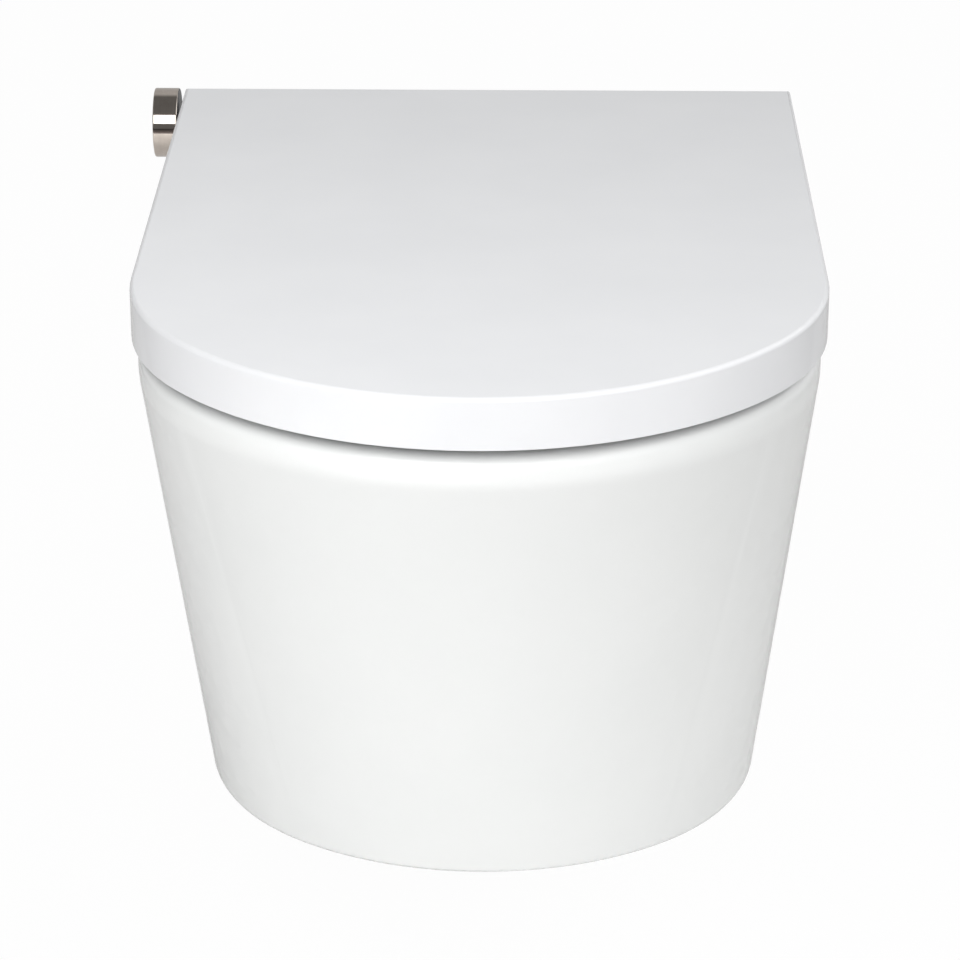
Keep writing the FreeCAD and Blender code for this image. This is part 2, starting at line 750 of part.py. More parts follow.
def trap_path(owner, label):
    """The trapway's centre line: dip, rising leg, crest, falling leg, outlet."""
    up, down = math.radians(s.trap_rise_angle.value), math.radians(s.trap_fall_angle.value)
    r1, r2, r3 = s.trap_dip_radius.value, s.trap_crest_radius.value, s.trap_outlet_radius.value
    a = Vector(-s.trap_dip_place.value, -s.trap_dip_height.value, 0)
    centre_dip = a + Vector(0, r1, 0)
    b = centre_dip + Vector(r1 * math.sin(up), -r1 * math.cos(up), 0)
    c_y = -s.trap_crest_height.value - r2 + r2 * math.cos(up)
    run = (c_y - b.y) / math.sin(up)
    c = b + Vector(run * math.cos(up), run * math.sin(up), 0)
    centre_crest = c + Vector(r2 * math.sin(up), -r2 * math.cos(up), 0)
    d = centre_crest + Vector(r2 * math.sin(down), r2 * math.cos(down), 0)
    e_y = -s.outlet_drop.value + r3 - r3 * math.cos(down)
    fall = (d.y - e_y) / math.sin(down)
    e = d + Vector(fall * math.cos(down), -fall * math.sin(down), 0)
    centre_outlet = e + Vector(r3 * math.sin(down), r3 * math.cos(down), 0)
    g = centre_outlet + Vector(0, -r3, 0)
    start = Vector(-s.floor_centre.value, a.y, 0)
    out = Vector(-past.value, g.y, 0)
    normal = Vector(0, 0, 1)
    quarter = math.pi / 2
    item = sketch(owner, label, "YZ_Plane", 0)
    item.addGeometry(Part.LineSegment(start, a))
    item.addGeometry(Part.ArcOfCircle(Part.Circle(centre_dip, normal, r1), -quarter, up - quarter))
    item.addGeometry(Part.LineSegment(b, c))
    item.addGeometry(
        Part.ArcOfCircle(Part.Circle(centre_crest, normal, r2), quarter - down, quarter + up)
    )
    item.addGeometry(Part.LineSegment(d, e))
    item.addGeometry(
        Part.ArcOfCircle(Part.Circle(centre_outlet, normal, r3), -quarter - down, -quarter)
    )
    item.addGeometry(Part.LineSegment(g, out))
    return item


def trap_pipe(way, label, radius):
    path = trap_path(ceramic, f"{label}Path")
    profile = sketch(ceramic, f"{label}Ring", "XZ_Plane", s.floor_centre)
    centre = Vector(0, -s.trap_dip_height.value, 0)
    profile.addGeometry(Part.Circle(centre, Vector(0, 0, 1), radius.value))
    profile.addConstraint(Sketcher.Constraint("PointOnObject", 0, 3, -2))
    drive(profile, "DistanceY", 0, 3, -1, 1, s.trap_dip_height)
    drive(profile, "Radius", 0, radius)
    doc.recompute()
    item = ceramic.newObject(f"PartDesign::{way}Pipe", label)
    item.Profile = profile
    item.Spine = (path, [f"Edge{i + 1}" for i in range(path.GeometryCount)])
    return item


trap_pipe(ADD, "TrapOutside", s.trap_radius + wall - past)

# The glazed inside of the bowl, its waterways and the seats for the other pieces.
loft(ceramic, CUT, bowl_ovals("BowlInside", 0, 0), False)
round_edges(
    ceramic,
    s.mouth_radius,
    lambda e: flat_at(s.rim_height)(e) and abs(e.BoundBox.XMax) < mouth_width.value / 2 + past.value,
)
trap_pipe(CUT, "TrapInside", s.trap_radius)
rod(
    ceramic,
    CUT,
    Y_AXIS,
    (0, -s.outlet_length, -s.outlet_drop),
    s.outlet_radius + s.outlet_recess,
    s.outlet_length + past,
)
rod(
    ceramic,
    ADD,
    Y_AXIS,
    (0, -s.outlet_length - wall, -s.outlet_drop),
    s.outlet_radius,
    s.outlet_length + wall,
)
rod(
    ceramic,
    CUT,
    Y_AXIS,
    (0, -s.outlet_length - wall, -s.outlet_drop),
    s.outlet_bore_radius,
    s.outlet_length + wall + past,
)
rod(ceramic, CUT, Y_AXIS, (0, -s.inlet_depth, s.inlet_height), s.inlet_radius, s.inlet_depth + past)
box(
    ceramic,
    CUT,
    (-s.duct_width / 2, s.duct_width / 2),
    (-s.duct_front, -s.inlet_depth + past),
    (s.duct_floor, duct_top),
)
for side in (-1, 1):
    bolt_x = side * s.bolt_spacing / 2
    drain_x = side * (half_lid - s.drain_side)
    rod(
        ceramic,
        CUT,
        Y_AXIS,
        (bolt_x, -s.bolt_boss_depth - past, 0),
        s.bolt_hole_radius,
        s.bolt_boss_depth + 2 * past,
    )
    box(
        ceramic,
        CUT,
        (drain_x - s.drain_width / 2, drain_x + s.drain_width / 2),
        (-s.back_wall - past, past),
        (-s.drain_drop - s.drain_height / 2, -s.drain_drop + s.drain_height / 2),
    )
box(ceramic, CUT, (-half_lid, half_lid), (-s.deck_depth, past), (deck, lid_top))
box(ceramic, CUT, (-half_well, half_well), (-s.well_front, -s.deck_depth + past), (deck, lid_top))
slot_wide = box(
    ceramic,
    CUT,
    (-s.slot_left, s.slot_right),
    (s.slot_neck, s.slot_length),
    (-s.slot_floor, s.well_front),
)
tilted(slot_wide, -s.slot_left, s.slot_neck, -s.slot_floor)
slot_neck = box(
    ceramic,
    CUT,
    (-s.slot_left, s.slot_left),
    (-s.nozzle_length, s.slot_neck + past),
    (-s.slot_floor, s.well_front),
)
tilted(slot_neck, -s.slot_left, -s.nozzle_length, -s.slot_floor)
post_middle = post_inner + s.post_width / 2
deck_bottom = deck - wall - past
skin_low = s.rim_height - s.rim_skin
for side in (-1, 1):
    rod(
        ceramic,
        CUT,
        Z_AXIS,
        (side * post_middle, hinge_y, skin_low - past),
        s.post_stud_radius + past,
        s.rim_skin + 2 * past,
    )
    rod(
        ceramic,
        CUT,
        Z_AXIS,
        (side * unit_bolt_place, -s.unit_bolt_wall_gap, deck_bottom),
        s.unit_bolt_radius + past,
        wall + 2 * past,
    )
    rod(
        ceramic,
        CUT,
        Z_AXIS,
        (side * post_middle, hinge_y, deck_bottom),
        s.post_washer_radius + past,
        skin_low - deck_bottom,
    )
rod(
    ceramic,
    CUT,
    Z_AXIS,
    (valve_place, -s.valve_wall_gap, deck_bottom),
    s.deck_hole_radius,
    wall + 2 * past,
)
rod(
    ceramic,
    CUT,
    Z_AXIS,
    (-gland_place, -s.gland_wall_gap, deck_bottom),
    s.deck_hole_radius,
    wall + 2 * past,
)

# Bowl, trapway and skirt are cast apart and stuck together with slip before firing.
heart = body("heart", kept=False)
heart_inset = hollow_inset + s.slip_joint
heart_wall = wall + s.slip_joint
heart_rear = s.back_wall + s.slip_joint
heart_base = outline(
    heart,
    "HeartBase",
    base_low + heart_wall,
    base_half - heart_wall,
    heart_rear,
    s.base_straight,
    base_rise - heart_wall,
    base_corner - heart_wall,
)
heart_band = lid_outline(heart, "HeartBand", band_low - wall, heart_inset, heart_rear)
heart_top = lid_outline(heart, "HeartTop", s.rim_height + past, heart_inset, heart_rear)
loft(heart, ADD, [heart_top, heart_band, heart_base], True)
rod(
    heart,
    ADD,
    Y_AXIS,
    (0, -s.inlet_depth - wall, s.inlet_height),
    s.inlet_radius + wall,
    s.inlet_depth + wall + past,
)
rod(
    heart,
    ADD,
    Y_AXIS,
    (0, -s.outlet_length - wall, -s.outlet_drop),
    s.outlet_radius + s.outlet_recess + wall,
    s.outlet_length + wall + past,
)
for side in (-1, 1):
    rod(
        heart,
        CUT,
        Y_AXIS,
        (side * s.bolt_spacing / 2, -s.bolt_boss_depth - past, 0),
        s.bolt_boss_radius + past,
        s.bolt_boss_depth + past,
    )
upper = body("upper", kept=False)
bowl_low = s.inlet_height - s.inlet_radius - wall - past
box(upper, ADD, (-half_lid, half_lid), (-lid_front, past), (bowl_low, lid_top))
doc.recompute()
inside = ceramic.Shape.common(heart.Shape)
piece("ceramic_bowl", inside.common(upper.Shape))
piece("ceramic_trap", inside.cut(upper.Shape))
piece("ceramic_skirt", ceramic.Shape.cut(heart.Shape))

# Sleeves that centre the wall studs in the ceramic.
sleeves = body("wall_sleeves")
for side in (-1, 1):
    bolt_x = side * s.bolt_spacing / 2
    sleeve_end = -s.bolt_boss_depth - s.sleeve_flange
    rod(sleeves, ADD, Y_AXIS, (bolt_x, -s.bolt_boss_depth, 0), s.bolt_hole_radius, s.bolt_boss_depth)
    rod(sleeves, ADD, Y_AXIS, (bolt_x, sleeve_end, 0), s.sleeve_flange_radius, s.sleeve_flange)
    rod(
        sleeves,
        CUT,
        Y_AXIS,
        (bolt_x, sleeve_end - past, 0),
        s.sleeve_bore_radius,
        -sleeve_end + 2 * past,
    )


def span(side, near, far):
    """A range on X at the same distances on either side of the middle."""
    return (near, far) if side > 0 else (-far, -near)


# The unit's tray stands on the ceramic's deck and carries the water parts and the electrics.
tray = body("unit_base")
tray_half = rim_half - s.shell - s.play
tray_side = half_well - s.play
console_half = half_lid - s.console_side
nut_inner = -tray_half + s.shell + s.collar_nut
encoder_outer = nut_inner + s.encoder_nut_gap
spindle_in = encoder_outer + s.spindle_tail
tray_back = -(s.shell + 2 * s.play)
tray_step = -(s.cover_depth - s.shell - s.play)
tray_front = -(s.well_front - s.play)
tray_top = deck + s.tray_height
floor = deck + s.shell
knob_y, knob_z = -s.knob_wall_gap, s.knob_axis_height
box(tray, ADD, (-tray_half, tray_half), (tray_step, tray_back), (deck, tray_top))
box(tray, ADD, (-tray_side, tray_side), (tray_front, tray_step + s.shell), (deck, tray_top))
box(
    tray,
    CUT,
    (-tray_half + s.shell, tray_half - s.shell),
    (tray_step + s.shell, tray_back - s.shell),
    (floor, tray_top + past),
)
box(
    tray,
    CUT,
    (-tray_side + s.shell, tray_side - s.shell),
    (tray_front + s.shell, tray_step + 2 * s.shell),
    (floor, tray_top + past),
)
box(
    tray,
    CUT,
    (-s.slot_left - s.play, s.slot_right + s.play),
    (tray_front - past, s.slot_length - s.nozzle_place),
    (deck - past, tray_top + past),
)
box(
    tray,
    ADD,
    (-tray_half, -tray_half + s.shell),
    (knob_y - s.collar_lug_width / 2, knob_y + s.collar_lug_width / 2),
    (deck, knob_z + s.collar_lug_top),
)
rod(tray, CUT, X_AXIS, (-tray_half - past, knob_y, knob_z), s.collar_neck_radius, s.shell + 2 * past)
for side in (-1, 1):
    bolt_at = (side * unit_bolt_place, -s.unit_bolt_wall_gap, deck - past)
    rod(tray, CUT, Z_AXIS, bolt_at, s.unit_bolt_radius, s.shell + 2 * past)
rod(
    tray,
    CUT,
    Z_AXIS,
    (valve_place, -s.valve_wall_gap, deck - past),
    s.inlet_neck_radius,
    s.shell + 2 * past,
)
rod(
    tray,
    CUT,
    Z_AXIS,
    (-gland_place, -s.gland_wall_gap, deck - past),
    s.gland_radius,
    s.shell + 2 * past,
)
board_x = (s.board_side - half_lid, -s.board_inner)
board_y = (-s.board_front, -s.board_front + s.board_depth)
for x in (board_x[0] + 2 * s.pillar_radius, board_x[1] - 2 * s.pillar_radius):
    for y in (board_y[0] + 2 * s.pillar_radius, board_y[1] - 2 * s.pillar_radius):
        rod(tray, ADD, Z_AXIS, (x, y, floor), s.pillar_radius, s.board_foot)


def at_origin(item, shape_index, point_index, u, v):
    """Dimensions one corner of a drawing from the drawing's origin."""
    for kind, amount in (("DistanceX", u), ("DistanceY", v)):
        if value_of(amount) > 0:
            drive(item, kind, -1, 1, shape_index, point_index, amount)
        else:
            drive(item, kind, shape_index, point_index, -1, 1, -amount)


def polygon(owner, label, role, corners):
    """A straight-sided drawing around the middle plane."""
    item = sketch(owner, label, role, 0)
    points = [Vector(value_of(u), value_of(v), 0) for u, v in corners]
    count = len(points)
    for index, point in enumerate(points):
        item.addGeometry(Part.LineSegment(point, points[(index + 1) % count]))
    for index in range(count):
        item.addConstraint(Sketcher.Constraint("Coincident", index, 2, (index + 1) % count, 1))
    for index, (u, v) in enumerate(corners):
        at_origin(item, index, 1, u, v)
    return item


# The rear cover is wedge-shaped, so that the raised lid can lean over it.
cover = body("rear_cover")
cover_front = -s.cover_depth
cover_high = s.rim_height + s.cover_front_height
cover_low = s.rim_height + s.cover_rear_height
wedge = polygon(
    cover,
    "Wedge",
    "YZ_Plane",
    [(cover_front, deck), (cover_front, cover_high), (-s.play, cover_low), (-s.play, deck)],
)
pad(cover, wedge, 2 * rim_half, both=True)
round_edges(cover, s.cover_radius, lambda e: e.BoundBox.ZMin > s.rim_height.value + past.value)
inside = polygon(
    cover,
    "Inside",
    "YZ_Plane",
    [
        (cover_front + s.shell, deck - past),
        (cover_front + s.shell, cover_high - s.shell),
        (-s.play - s.shell, cover_low - s.shell),
        (-s.play - s.shell, deck - past),
    ],
)
pad(cover, inside, 2 * (rim_half - s.shell), way="Pocket", both=True)
box(
    cover,
    CUT,
    (-console_half - s.play, console_half + s.play),
    (cover_front - past, cover_front + s.shell + past),
    (deck - past, s.rim_height + s.shell),
)
rod(cover, CUT, X_AXIS, (-rim_half - past, knob_y, knob_z), s.collar_neck_radius, s.shell + 2 * past)

# The console cover closes the well below the seat, with a tongue over the nozzle.
console = body("console_cover")
console_rear = -(s.cover_depth - 2 * s.play)
console_high = s.rim_height + s.shell
box(
    console,
    ADD,
    (-console_half, console_half),
    (-s.console_front, console_rear),
    (s.rim_height, console_high),
)
box(
    console,
    ADD,
    (-s.tongue_width / 2, s.tongue_width / 2),
    (-s.tongue_front, -s.console_front),
    (s.rim_height, console_high),
)
round_edges(
    console,
    s.console_radius,
    lambda e: flat_at(console_high)(e) and e.BoundBox.YMin < console_rear.value - past.value,
)

# Bolts, rubber washers and nuts that hold the tray to the ceramic.
unit_bolts = body("unit_bolts")
unit_washers = body("unit_washers")
unit_nuts = body("unit_nuts")
washer_low = deck - wall - s.unit_washer
nut_low = washer_low - s.nut_height
for side in (-1, 1):
    x, y = side * unit_bolt_place, -s.unit_bolt_wall_gap
    rod(
        unit_bolts,
        ADD,
        Z_AXIS,
        (x, y, nut_low - s.unit_bolt_end),
        s.unit_bolt_radius,
        floor - nut_low + s.unit_bolt_end,
    )
    prism(unit_bolts, ADD, (x, y, floor), s.unit_bolt_head_radius, s.unit_bolt_head)
    rod(unit_washers, ADD, Z_AXIS, (x, y, washer_low), s.unit_washer_radius, s.unit_washer)
    rod(
        unit_washers,
        CUT,
        Z_AXIS,
        (x, y, washer_low - past),
        s.unit_bolt_radius,
        s.unit_washer + 2 * past,
    )
    prism(unit_nuts, ADD, (x, y, nut_low), s.nut_radius, s.nut_height)
    rod(unit_nuts, CUT, Z_AXIS, (x, y, nut_low - past), s.unit_bolt_radius, s.nut_height + 2 * past)

# The nozzle's guide lies on the sloping floor of the ceramic's slot. Its axes follow the spray arm.
guide = body("nozzle_guide", tilt)
wide = s.guide_half_width
guide_low = -s.slot_floor
guide_side = s.slot_right - s.play
bridge_top = s.bridge_floor + s.guide_wall
guide_floor = -wide + s.guide_wall
pitch_x = s.rack_root + s.gear_dedendum * s.gear_module
pinion_x = pitch_x + s.gear_module * s.gear_teeth / 2
cap_middle = (s.guide_cap_front + s.guide_cap_rear) / 2
box(guide, ADD, (-wide, wide), (s.bush_front, s.guide_cap_rear), (guide_low, guide_floor))
box(
    guide,
    ADD,
    (-wide, -wide + s.guide_wall),
    (s.bush_front, s.guide_cap_rear),
    (guide_low, bridge_top),
)
box(guide, ADD, (-wide, wide), (s.bush_front, s.bush_rear), (guide_low, wide))
box(guide, ADD, (-wide, wide), (s.guide_cap_front, s.guide_cap_rear), (guide_low, s.guide_cap_top))
box(guide, ADD, (-wide, guide_side), (s.bridge_front, s.bridge_rear), (guide_low, guide_floor))
box(guide, ADD, (-wide, guide_side), (s.bridge_front, s.bridge_rear), (s.bridge_floor, bridge_top))
box(
    guide,
    ADD,
    (guide_side - s.guide_wall, guide_side),
    (s.bridge_front, s.bridge_rear),
    (guide_low, bridge_top),
)
rod(guide, ADD, X_AXIS, (wide, cap_middle, s.nipple_height), s.nipple_radius, s.nipple_length)
rod(
    guide,
    CUT,
    Y_AXIS,
    (0, s.bush_front - past, 0),
    s.arm_radius + s.slide_clearance,
    s.bush_rear - s.bush_front + 2 * past,
)
rack_room = s.rack_width / 2 + s.rack_clearance
box(guide, CUT, (0, wide + past), (s.bush_front - past, s.bush_rear + past), (-rack_room, rack_room))
rod(
    guide,
    CUT,
    Z_AXIS,
    (pinion_x, s.pinion_place, s.bridge_floor - past),
    s.motor_boss_radius,
    s.guide_wall + 2 * past,
)
rod(guide, CUT, Y_AXIS, (0, s.guide_cap_front - past, 0), s.feed_radius, s.feed_seat + past)
rod(
    guide,
    CUT,
    X_AXIS,
    (wide, cap_middle, s.nipple_height),
    s.nipple_bore_radius,
    s.nipple_length + past,
)

feed = body("feed_tube", tilt)
feed_front = s.nozzle_length + s.nozzle_neck
feed_length = s.guide_cap_front + s.feed_seat - feed_front
rod(feed, ADD, Y_AXIS, (0, feed_front, 0), s.feed_radius, feed_length)
rod(feed, CUT, Y_AXIS, (0, feed_front - past, 0), s.feed_bore_radius, feed_length + 2 * past)


def rack_teeth(start, end):
    """Straight-flanked rack teeth along the spray arm, a gap facing the pinion at rest."""
    module, slope = s.gear_module.value, math.tan(math.radians(20))
    pitch = math.pi * module
    half = pitch / 4 - s.gear_backlash.value / 2
    root, tip = s.rack_root.value, pitch_x.value + module
    low, high = half + slope * (pitch_x.value - root), half - slope * module
    middle = s.pinion_place.value + pitch / 2
    middle -= pitch * math.floor((middle - low - start) / pitch)
    bottom = -s.rack_width.value / 2
    teeth = []
    while middle + low < end:
        corners = [
            Vector(root, middle - low, bottom),
            Vector(tip, middle - high, bottom),
            Vector(tip, middle + high, bottom),
            Vector(root, middle + low, bottom),
        ]
        face = Part.Face(Part.makePolygon(corners + corners[:1]))
        teeth.append(face.extrude(Vector(0, 0, s.rack_width.value)))
        middle += pitch
    return teeth


def spray_arm():
    """A hollow bar with the rack along its side."""
    front, rear = (s.nozzle_length - s.nozzle_reach).value, s.arm_length.value
    along = Vector(0, 1, 0)
    bar = Part.makeCylinder(s.arm_radius.value, rear - front, Vector(0, front, 0), along)
    back = Part.makeBox(
        (s.rack_root - s.rack_seat).value,
        rear - s.rack_start.value,
        s.rack_width.value,
        Vector(s.rack_seat.value, s.rack_start.value, -s.rack_width.value / 2),
    )
    bar = bar.fuse([back] + rack_teeth(s.rack_start.value, rear)).removeSplitter()
    return bar.cut(
        Part.makeCylinder(s.arm_bore_radius.value, rear, Vector(0, front - past.value, 0), along),
    )


piece("spray_arm", spray_arm(), tilt)

tip = body("nozzle_tip", tilt)
rod(tip, ADD, Y_AXIS, (0, -s.nozzle_reach, 0), s.arm_radius, s.nozzle_length)
round_edges(
    tip,
    s.nozzle_nose_radius,
    lambda e: abs(e.BoundBox.YMax + s.nozzle_reach.value) < s.slide_clearance.value,
)
rod(tip, ADD, Y_AXIS, (0, s.nozzle_length - s.nozzle_reach, 0), s.arm_bore_radius, s.nozzle_neck)
rod(tip, CUT, Y_AXIS, (0, s.nozzle_reach, 0), s.nozzle_bore_radius, s.nozzle_length + s.nozzle_neck)
for jet in range(1, 4):
    rod(tip, CUT, Z_AXIS, (0, jet * s.jet_pitch, 0), s.jet_radius, s.arm_radius + past)

seal = body("arm_seal", tilt)
rod(seal, ADD, Y_AXIS, (0, s.arm_length - s.seal_length, 0), s.arm_bore_radius, s.seal_length)
rod(
    seal,
    CUT,
    Y_AXIS,
    (0, s.arm_length - s.seal_length - past, 0),
    s.feed_radius + s.running_clearance,
    s.seal_length + 2 * past,
)


def pinion_shape():
    """A spur pinion on the motor's shaft, a tooth facing the rack at rest."""
    module, count = s.gear_module.value, int(s.gear_teeth.value)
    pitch_radius = module * count / 2
    half = (math.pi * module / 4 - s.gear_backlash.value / 2) / pitch_radius
    root_share, tip_share = 1.55, 0.42
    flank = (
        (pitch_radius - s.gear_dedendum.value * module, half * root_share),
        (pitch_radius, half),
        (pitch_radius + module, half * tip_share),
    )
    tooth = [(r, -turn) for r, turn in flank] + list(reversed(flank))
    depth = s.gear_width.value
    foot = Vector(pinion_x.value, s.pinion_place.value, -depth / 2)
    points = []
    for index in range(count):
        middle = math.pi + 2 * math.pi * index / count
        for r, turn in tooth:
            points.append(foot + Vector(r * math.cos(middle + turn), r * math.sin(middle + turn), 0))
    gear = Part.Face(Part.makePolygon(points + points[:1])).extrude(Vector(0, 0, depth))
    low, high = guide_floor.value, (bridge_top + s.pinion_shaft_reach).value
    base = Vector(foot.x, foot.y, low)
    hub = Part.makeCylinder(s.pinion_hub_radius.value, foot.z - low, base)
    shaft = Part.makeCylinder(s.pinion_shaft_radius.value, high - foot.z, foot)
    return gear.fuse([hub, shaft]).removeSplitter()


piece("drive_pinion", pinion_shape(), tilt)

motor = body("drive_motor", tilt)
motor_at = (pinion_x, s.pinion_place, bridge_top)
rod(motor, ADD, Z_AXIS, motor_at, s.motor_radius, s.motor_height)
box(
    motor,
    ADD,
    (pinion_x - s.motor_ear_width / 2, pinion_x + s.motor_ear_width / 2),
    (s.pinion_place - s.motor_ear_length / 2, s.pinion_place + s.motor_ear_length / 2),
    (bridge_top, bridge_top + s.motor_ear),
)
rod(
    motor,
    ADD,
    Z_AXIS,
    (pinion_x, s.pinion_place, s.bridge_floor),
    s.motor_boss_radius,
    s.guide_wall + past,
)
rod(
    motor,
    CUT,
    Z_AXIS,
    (pinion_x, s.pinion_place, s.bridge_floor - past),
    s.pinion_shaft_radius + s.running_clearance,
    s.motor_height / 2,
)

# Cold water comes up through the deck into the valve, is warmed in the heater and goes on to the guide.
water_inlet = body("water_inlet")
water_at = (valve_place, -s.valve_wall_gap)
flange_low = deck - s.inlet_flange
rod(
    water_inlet,
    ADD,
    Z_AXIS,
    (*water_at, flange_low - s.inlet_thread_length),
    s.inlet_thread_radius,
    s.inlet_thread_length,
)
rod(water_inlet, ADD, Z_AXIS, (*water_at, flange_low), s.inlet_flange_radius, s.inlet_flange)
rod(water_inlet, ADD, Z_AXIS, (*water_at, deck), s.inlet_neck_radius, s.shell)
rod(
    water_inlet,
    CUT,
    Z_AXIS,
    (*water_at, flange_low - s.inlet_thread_length),
    s.inlet_bore_radius,
    s.inlet_thread_length + s.inlet_flange,
)

valve = body("solenoid_valve")
half_valve = s.valve_width / 2
cap_nipple = tilt.multVec(Vector(wide.value, cap_middle.value, s.nipple_height.value))
box(
    valve,
    ADD,
    (valve_place - half_valve, valve_place + half_valve),
    (-s.valve_wall_gap - half_valve, -s.valve_wall_gap + half_valve),
    (floor, floor + s.valve_height),
)
rod(valve, ADD, Z_AXIS, (*water_at, floor + s.valve_height), s.coil_radius, s.coil_height)
valve_front = -s.valve_wall_gap - half_valve
rod(
    valve,
    ADD,
    Y_AXIS,
    (valve_place, valve_front - s.nipple_length, cap_nipple.z),
    s.nipple_radius,
    s.nipple_length,
)
rod(
    valve,
    CUT,
    Y_AXIS,
    (valve_place, valve_front - s.nipple_length, cap_nipple.z),
    s.nipple_bore_radius,
    s.nipple_length,
)

heater = body("water_heater")
heater_x = (s.heater_left, half_lid - s.heater_side)
heater_y = (-s.heater_rear - s.heater_depth, -s.heater_rear)
box(heater, ADD, heater_x, heater_y, (floor, floor + s.heater_height))
round_edges(heater, s.heater_radius, lambda e: e.BoundBox.ZLength > s.heater_height.value / 2)
rib = (heater_x[1] - heater_x[0]) / (2 * s.heater_fins + 1)
for index in range(int(s.heater_fins.value)):
    rib_x = s.heater_left + (2 * index + 1) * rib
    box(
        heater,
        ADD,
        (rib_x, rib_x + rib),
        (heater_y[0] + s.heater_radius, heater_y[1] - s.heater_radius),
        (floor + s.heater_height - past, floor + s.heater_height + past),
    )
for x in (s.heater_outlet, valve_place):
    rod(heater, ADD, Y_AXIS, (x, -s.heater_rear, cap_nipple.z), s.nipple_radius, s.nipple_length)
    rod(
        heater,
        CUT,
        Y_AXIS,
        (x, -s.heater_rear, cap_nipple.z),
        s.nipple_bore_radius,
        s.nipple_length + past,
    )


def hose(label, points):
    path = rounded_path(points, s.hose_bend.value)
    piece(label, pipe(path, s.hose_radius.value).cut(pipe(path, s.nipple_radius.value)))


level = cap_nipple.z
heater_face = -s.heater_rear.value + past.value
hose(
    "warm_hose",
    [
        Vector(wide.value + past.value, cap_nipple.y, level),
        Vector(s.heater_outlet.value, cap_nipple.y, level),
        Vector(s.heater_outlet.value, heater_face, level),
    ],
)
hose(
    "cold_hose",
    [
        Vector(valve_place.value, valve_front.value - past.value, level),
        Vector(valve_place.value, heater_face, level),
    ],
)

# The electrics: gland, power supply, control board and the leads between them.
gland = body("cable_gland")
gland_at = (-gland_place, -s.gland_wall_gap)
rod(gland, ADD, Z_AXIS, (*gland_at, deck - s.gland_length), s.gland_radius, s.gland_length + s.shell)
prism(gland, ADD, (*gland_at, floor), s.gland_flange_radius, s.nut_height)
rod(
    gland,
    CUT,
    Z_AXIS,
    (*gland_at, deck - s.gland_length - past),
    s.gland_bore_radius,
    s.gland_length + s.shell + s.nut_height + 2 * past,
)

supply = body("power_supply")
supply_x = (s.supply_side - half_lid, s.supply_side - half_lid + s.supply_width)
supply_y = (-s.supply_wall_gap - s.supply_depth, -s.supply_wall_gap)
box(supply, ADD, supply_x, supply_y, (floor, floor + s.supply_height))
round_edges(supply, s.supply_radius, lambda e: e.BoundBox.ZMax > floor.value + past.value)

board = body("control_board")
board_low = floor + s.board_foot
board_top = board_low + s.board_sheet
box(board, ADD, board_x, board_y, (board_low, board_top))

parts = body("board_parts")
tall = (board_top, board_top + s.part_height)
plug = (board_top, board_top + s.connector_height)
plug_y = (board_y[1] - s.connector_depth, board_y[1])
plug_x = (board_x[1] - s.connector_depth, board_x[1])
switch_lead_x = board_x[0] + s.connector_width
supply_lead_x = (supply_x[0] + supply_x[1]) / 2
motor_lead_y = board_y[0] + 2 * s.connector_width
heater_lead_y = motor_lead_y + 2 * s.connector_width
half_plug = s.connector_width / 2
for x in (switch_lead_x, supply_lead_x):
    box(parts, ADD, (x - half_plug, x + half_plug), plug_y, plug)
for y in (motor_lead_y, heater_lead_y):
    box(parts, ADD, plug_x, (y - half_plug, y + half_plug), plug)
core = (board_x[1] - board_x[0]) / 4
box(
    parts,
    ADD,
    (board_x[0] + half_plug, board_x[0] + half_plug + core),
    (board_y[0] + half_plug, board_y[0] + half_plug + core),
    tall,
)
box(
    parts,
    ADD,
    (board_x[0] + 2 * core, board_x[0] + 3 * core - half_plug),
    (heater_lead_y - half_plug, heater_lead_y + half_plug),
    tall,
)
box(
    parts,
    ADD,
    (board_x[0] + half_plug, board_x[0] + core),
    (heater_lead_y - half_plug, heater_lead_y + half_plug),
    (board_top, board_top + s.board_sheet),
)
for step in (0, 1):
    rod(
        parts,
        ADD,
        Z_AXIS,
        (board_x[0] + 2 * core + step * s.connector_width, board_y[0] + s.connector_width, board_top),
        s.capacitor_radius,
        s.part_height,
    )


def lead(label, points, radius=s.lead_radius, bend=s.lead_bend):
    piece(label, pipe(rounded_path(points, bend.value), radius.value))


lead_z = (floor + s.lead_height).value
knob_lead_y = knob_y.value
board_edge_y, board_edge_x = board_y[1].value, board_x[1].value
switch_inner = (spindle_in + s.dome_length + s.switch_depth).value
lead(
    "mains_lead",
    [
        Vector(-gland_place.value, -s.gland_wall_gap.value, floor.value),
        Vector(-gland_place.value, -s.gland_wall_gap.value, lead_z + s.lead_bend.value),
        Vector(supply_x[0].value, -s.gland_wall_gap.value, lead_z + s.lead_bend.value),
    ],
    s.gland_bore_radius,
)
lead(
    "supply_lead",
    [
        Vector(supply_lead_x.value, supply_y[0].value, lead_z),
        Vector(supply_lead_x.value, board_edge_y, lead_z),
    ],
)
lead(
    "switch_lead",
    [
        Vector(switch_inner, knob_lead_y, lead_z),
        Vector(switch_lead_x.value, knob_lead_y, lead_z),
        Vector(switch_lead_x.value, board_edge_y, lead_z),
    ],
)
lead(
    "heater_lead",
    [
        Vector(board_edge_x, heater_lead_y.value, lead_z),
        Vector(heater_x[0].value, heater_lead_y.value, lead_z),
    ],
)
lead(
    "valve_lead",
    [
        Vector(supply_x[1].value, -s.valve_wall_gap.value, lead_z),
        Vector((valve_place - half_valve).value, -s.valve_wall_gap.value, lead_z),
    ],
)
motor_exit = tilt.multVec(
    Vector(
        pinion_x.value,
        (s.pinion_place + s.motor_radius).value,
        (bridge_top + s.motor_height - s.lead_bend).value,
    )
)
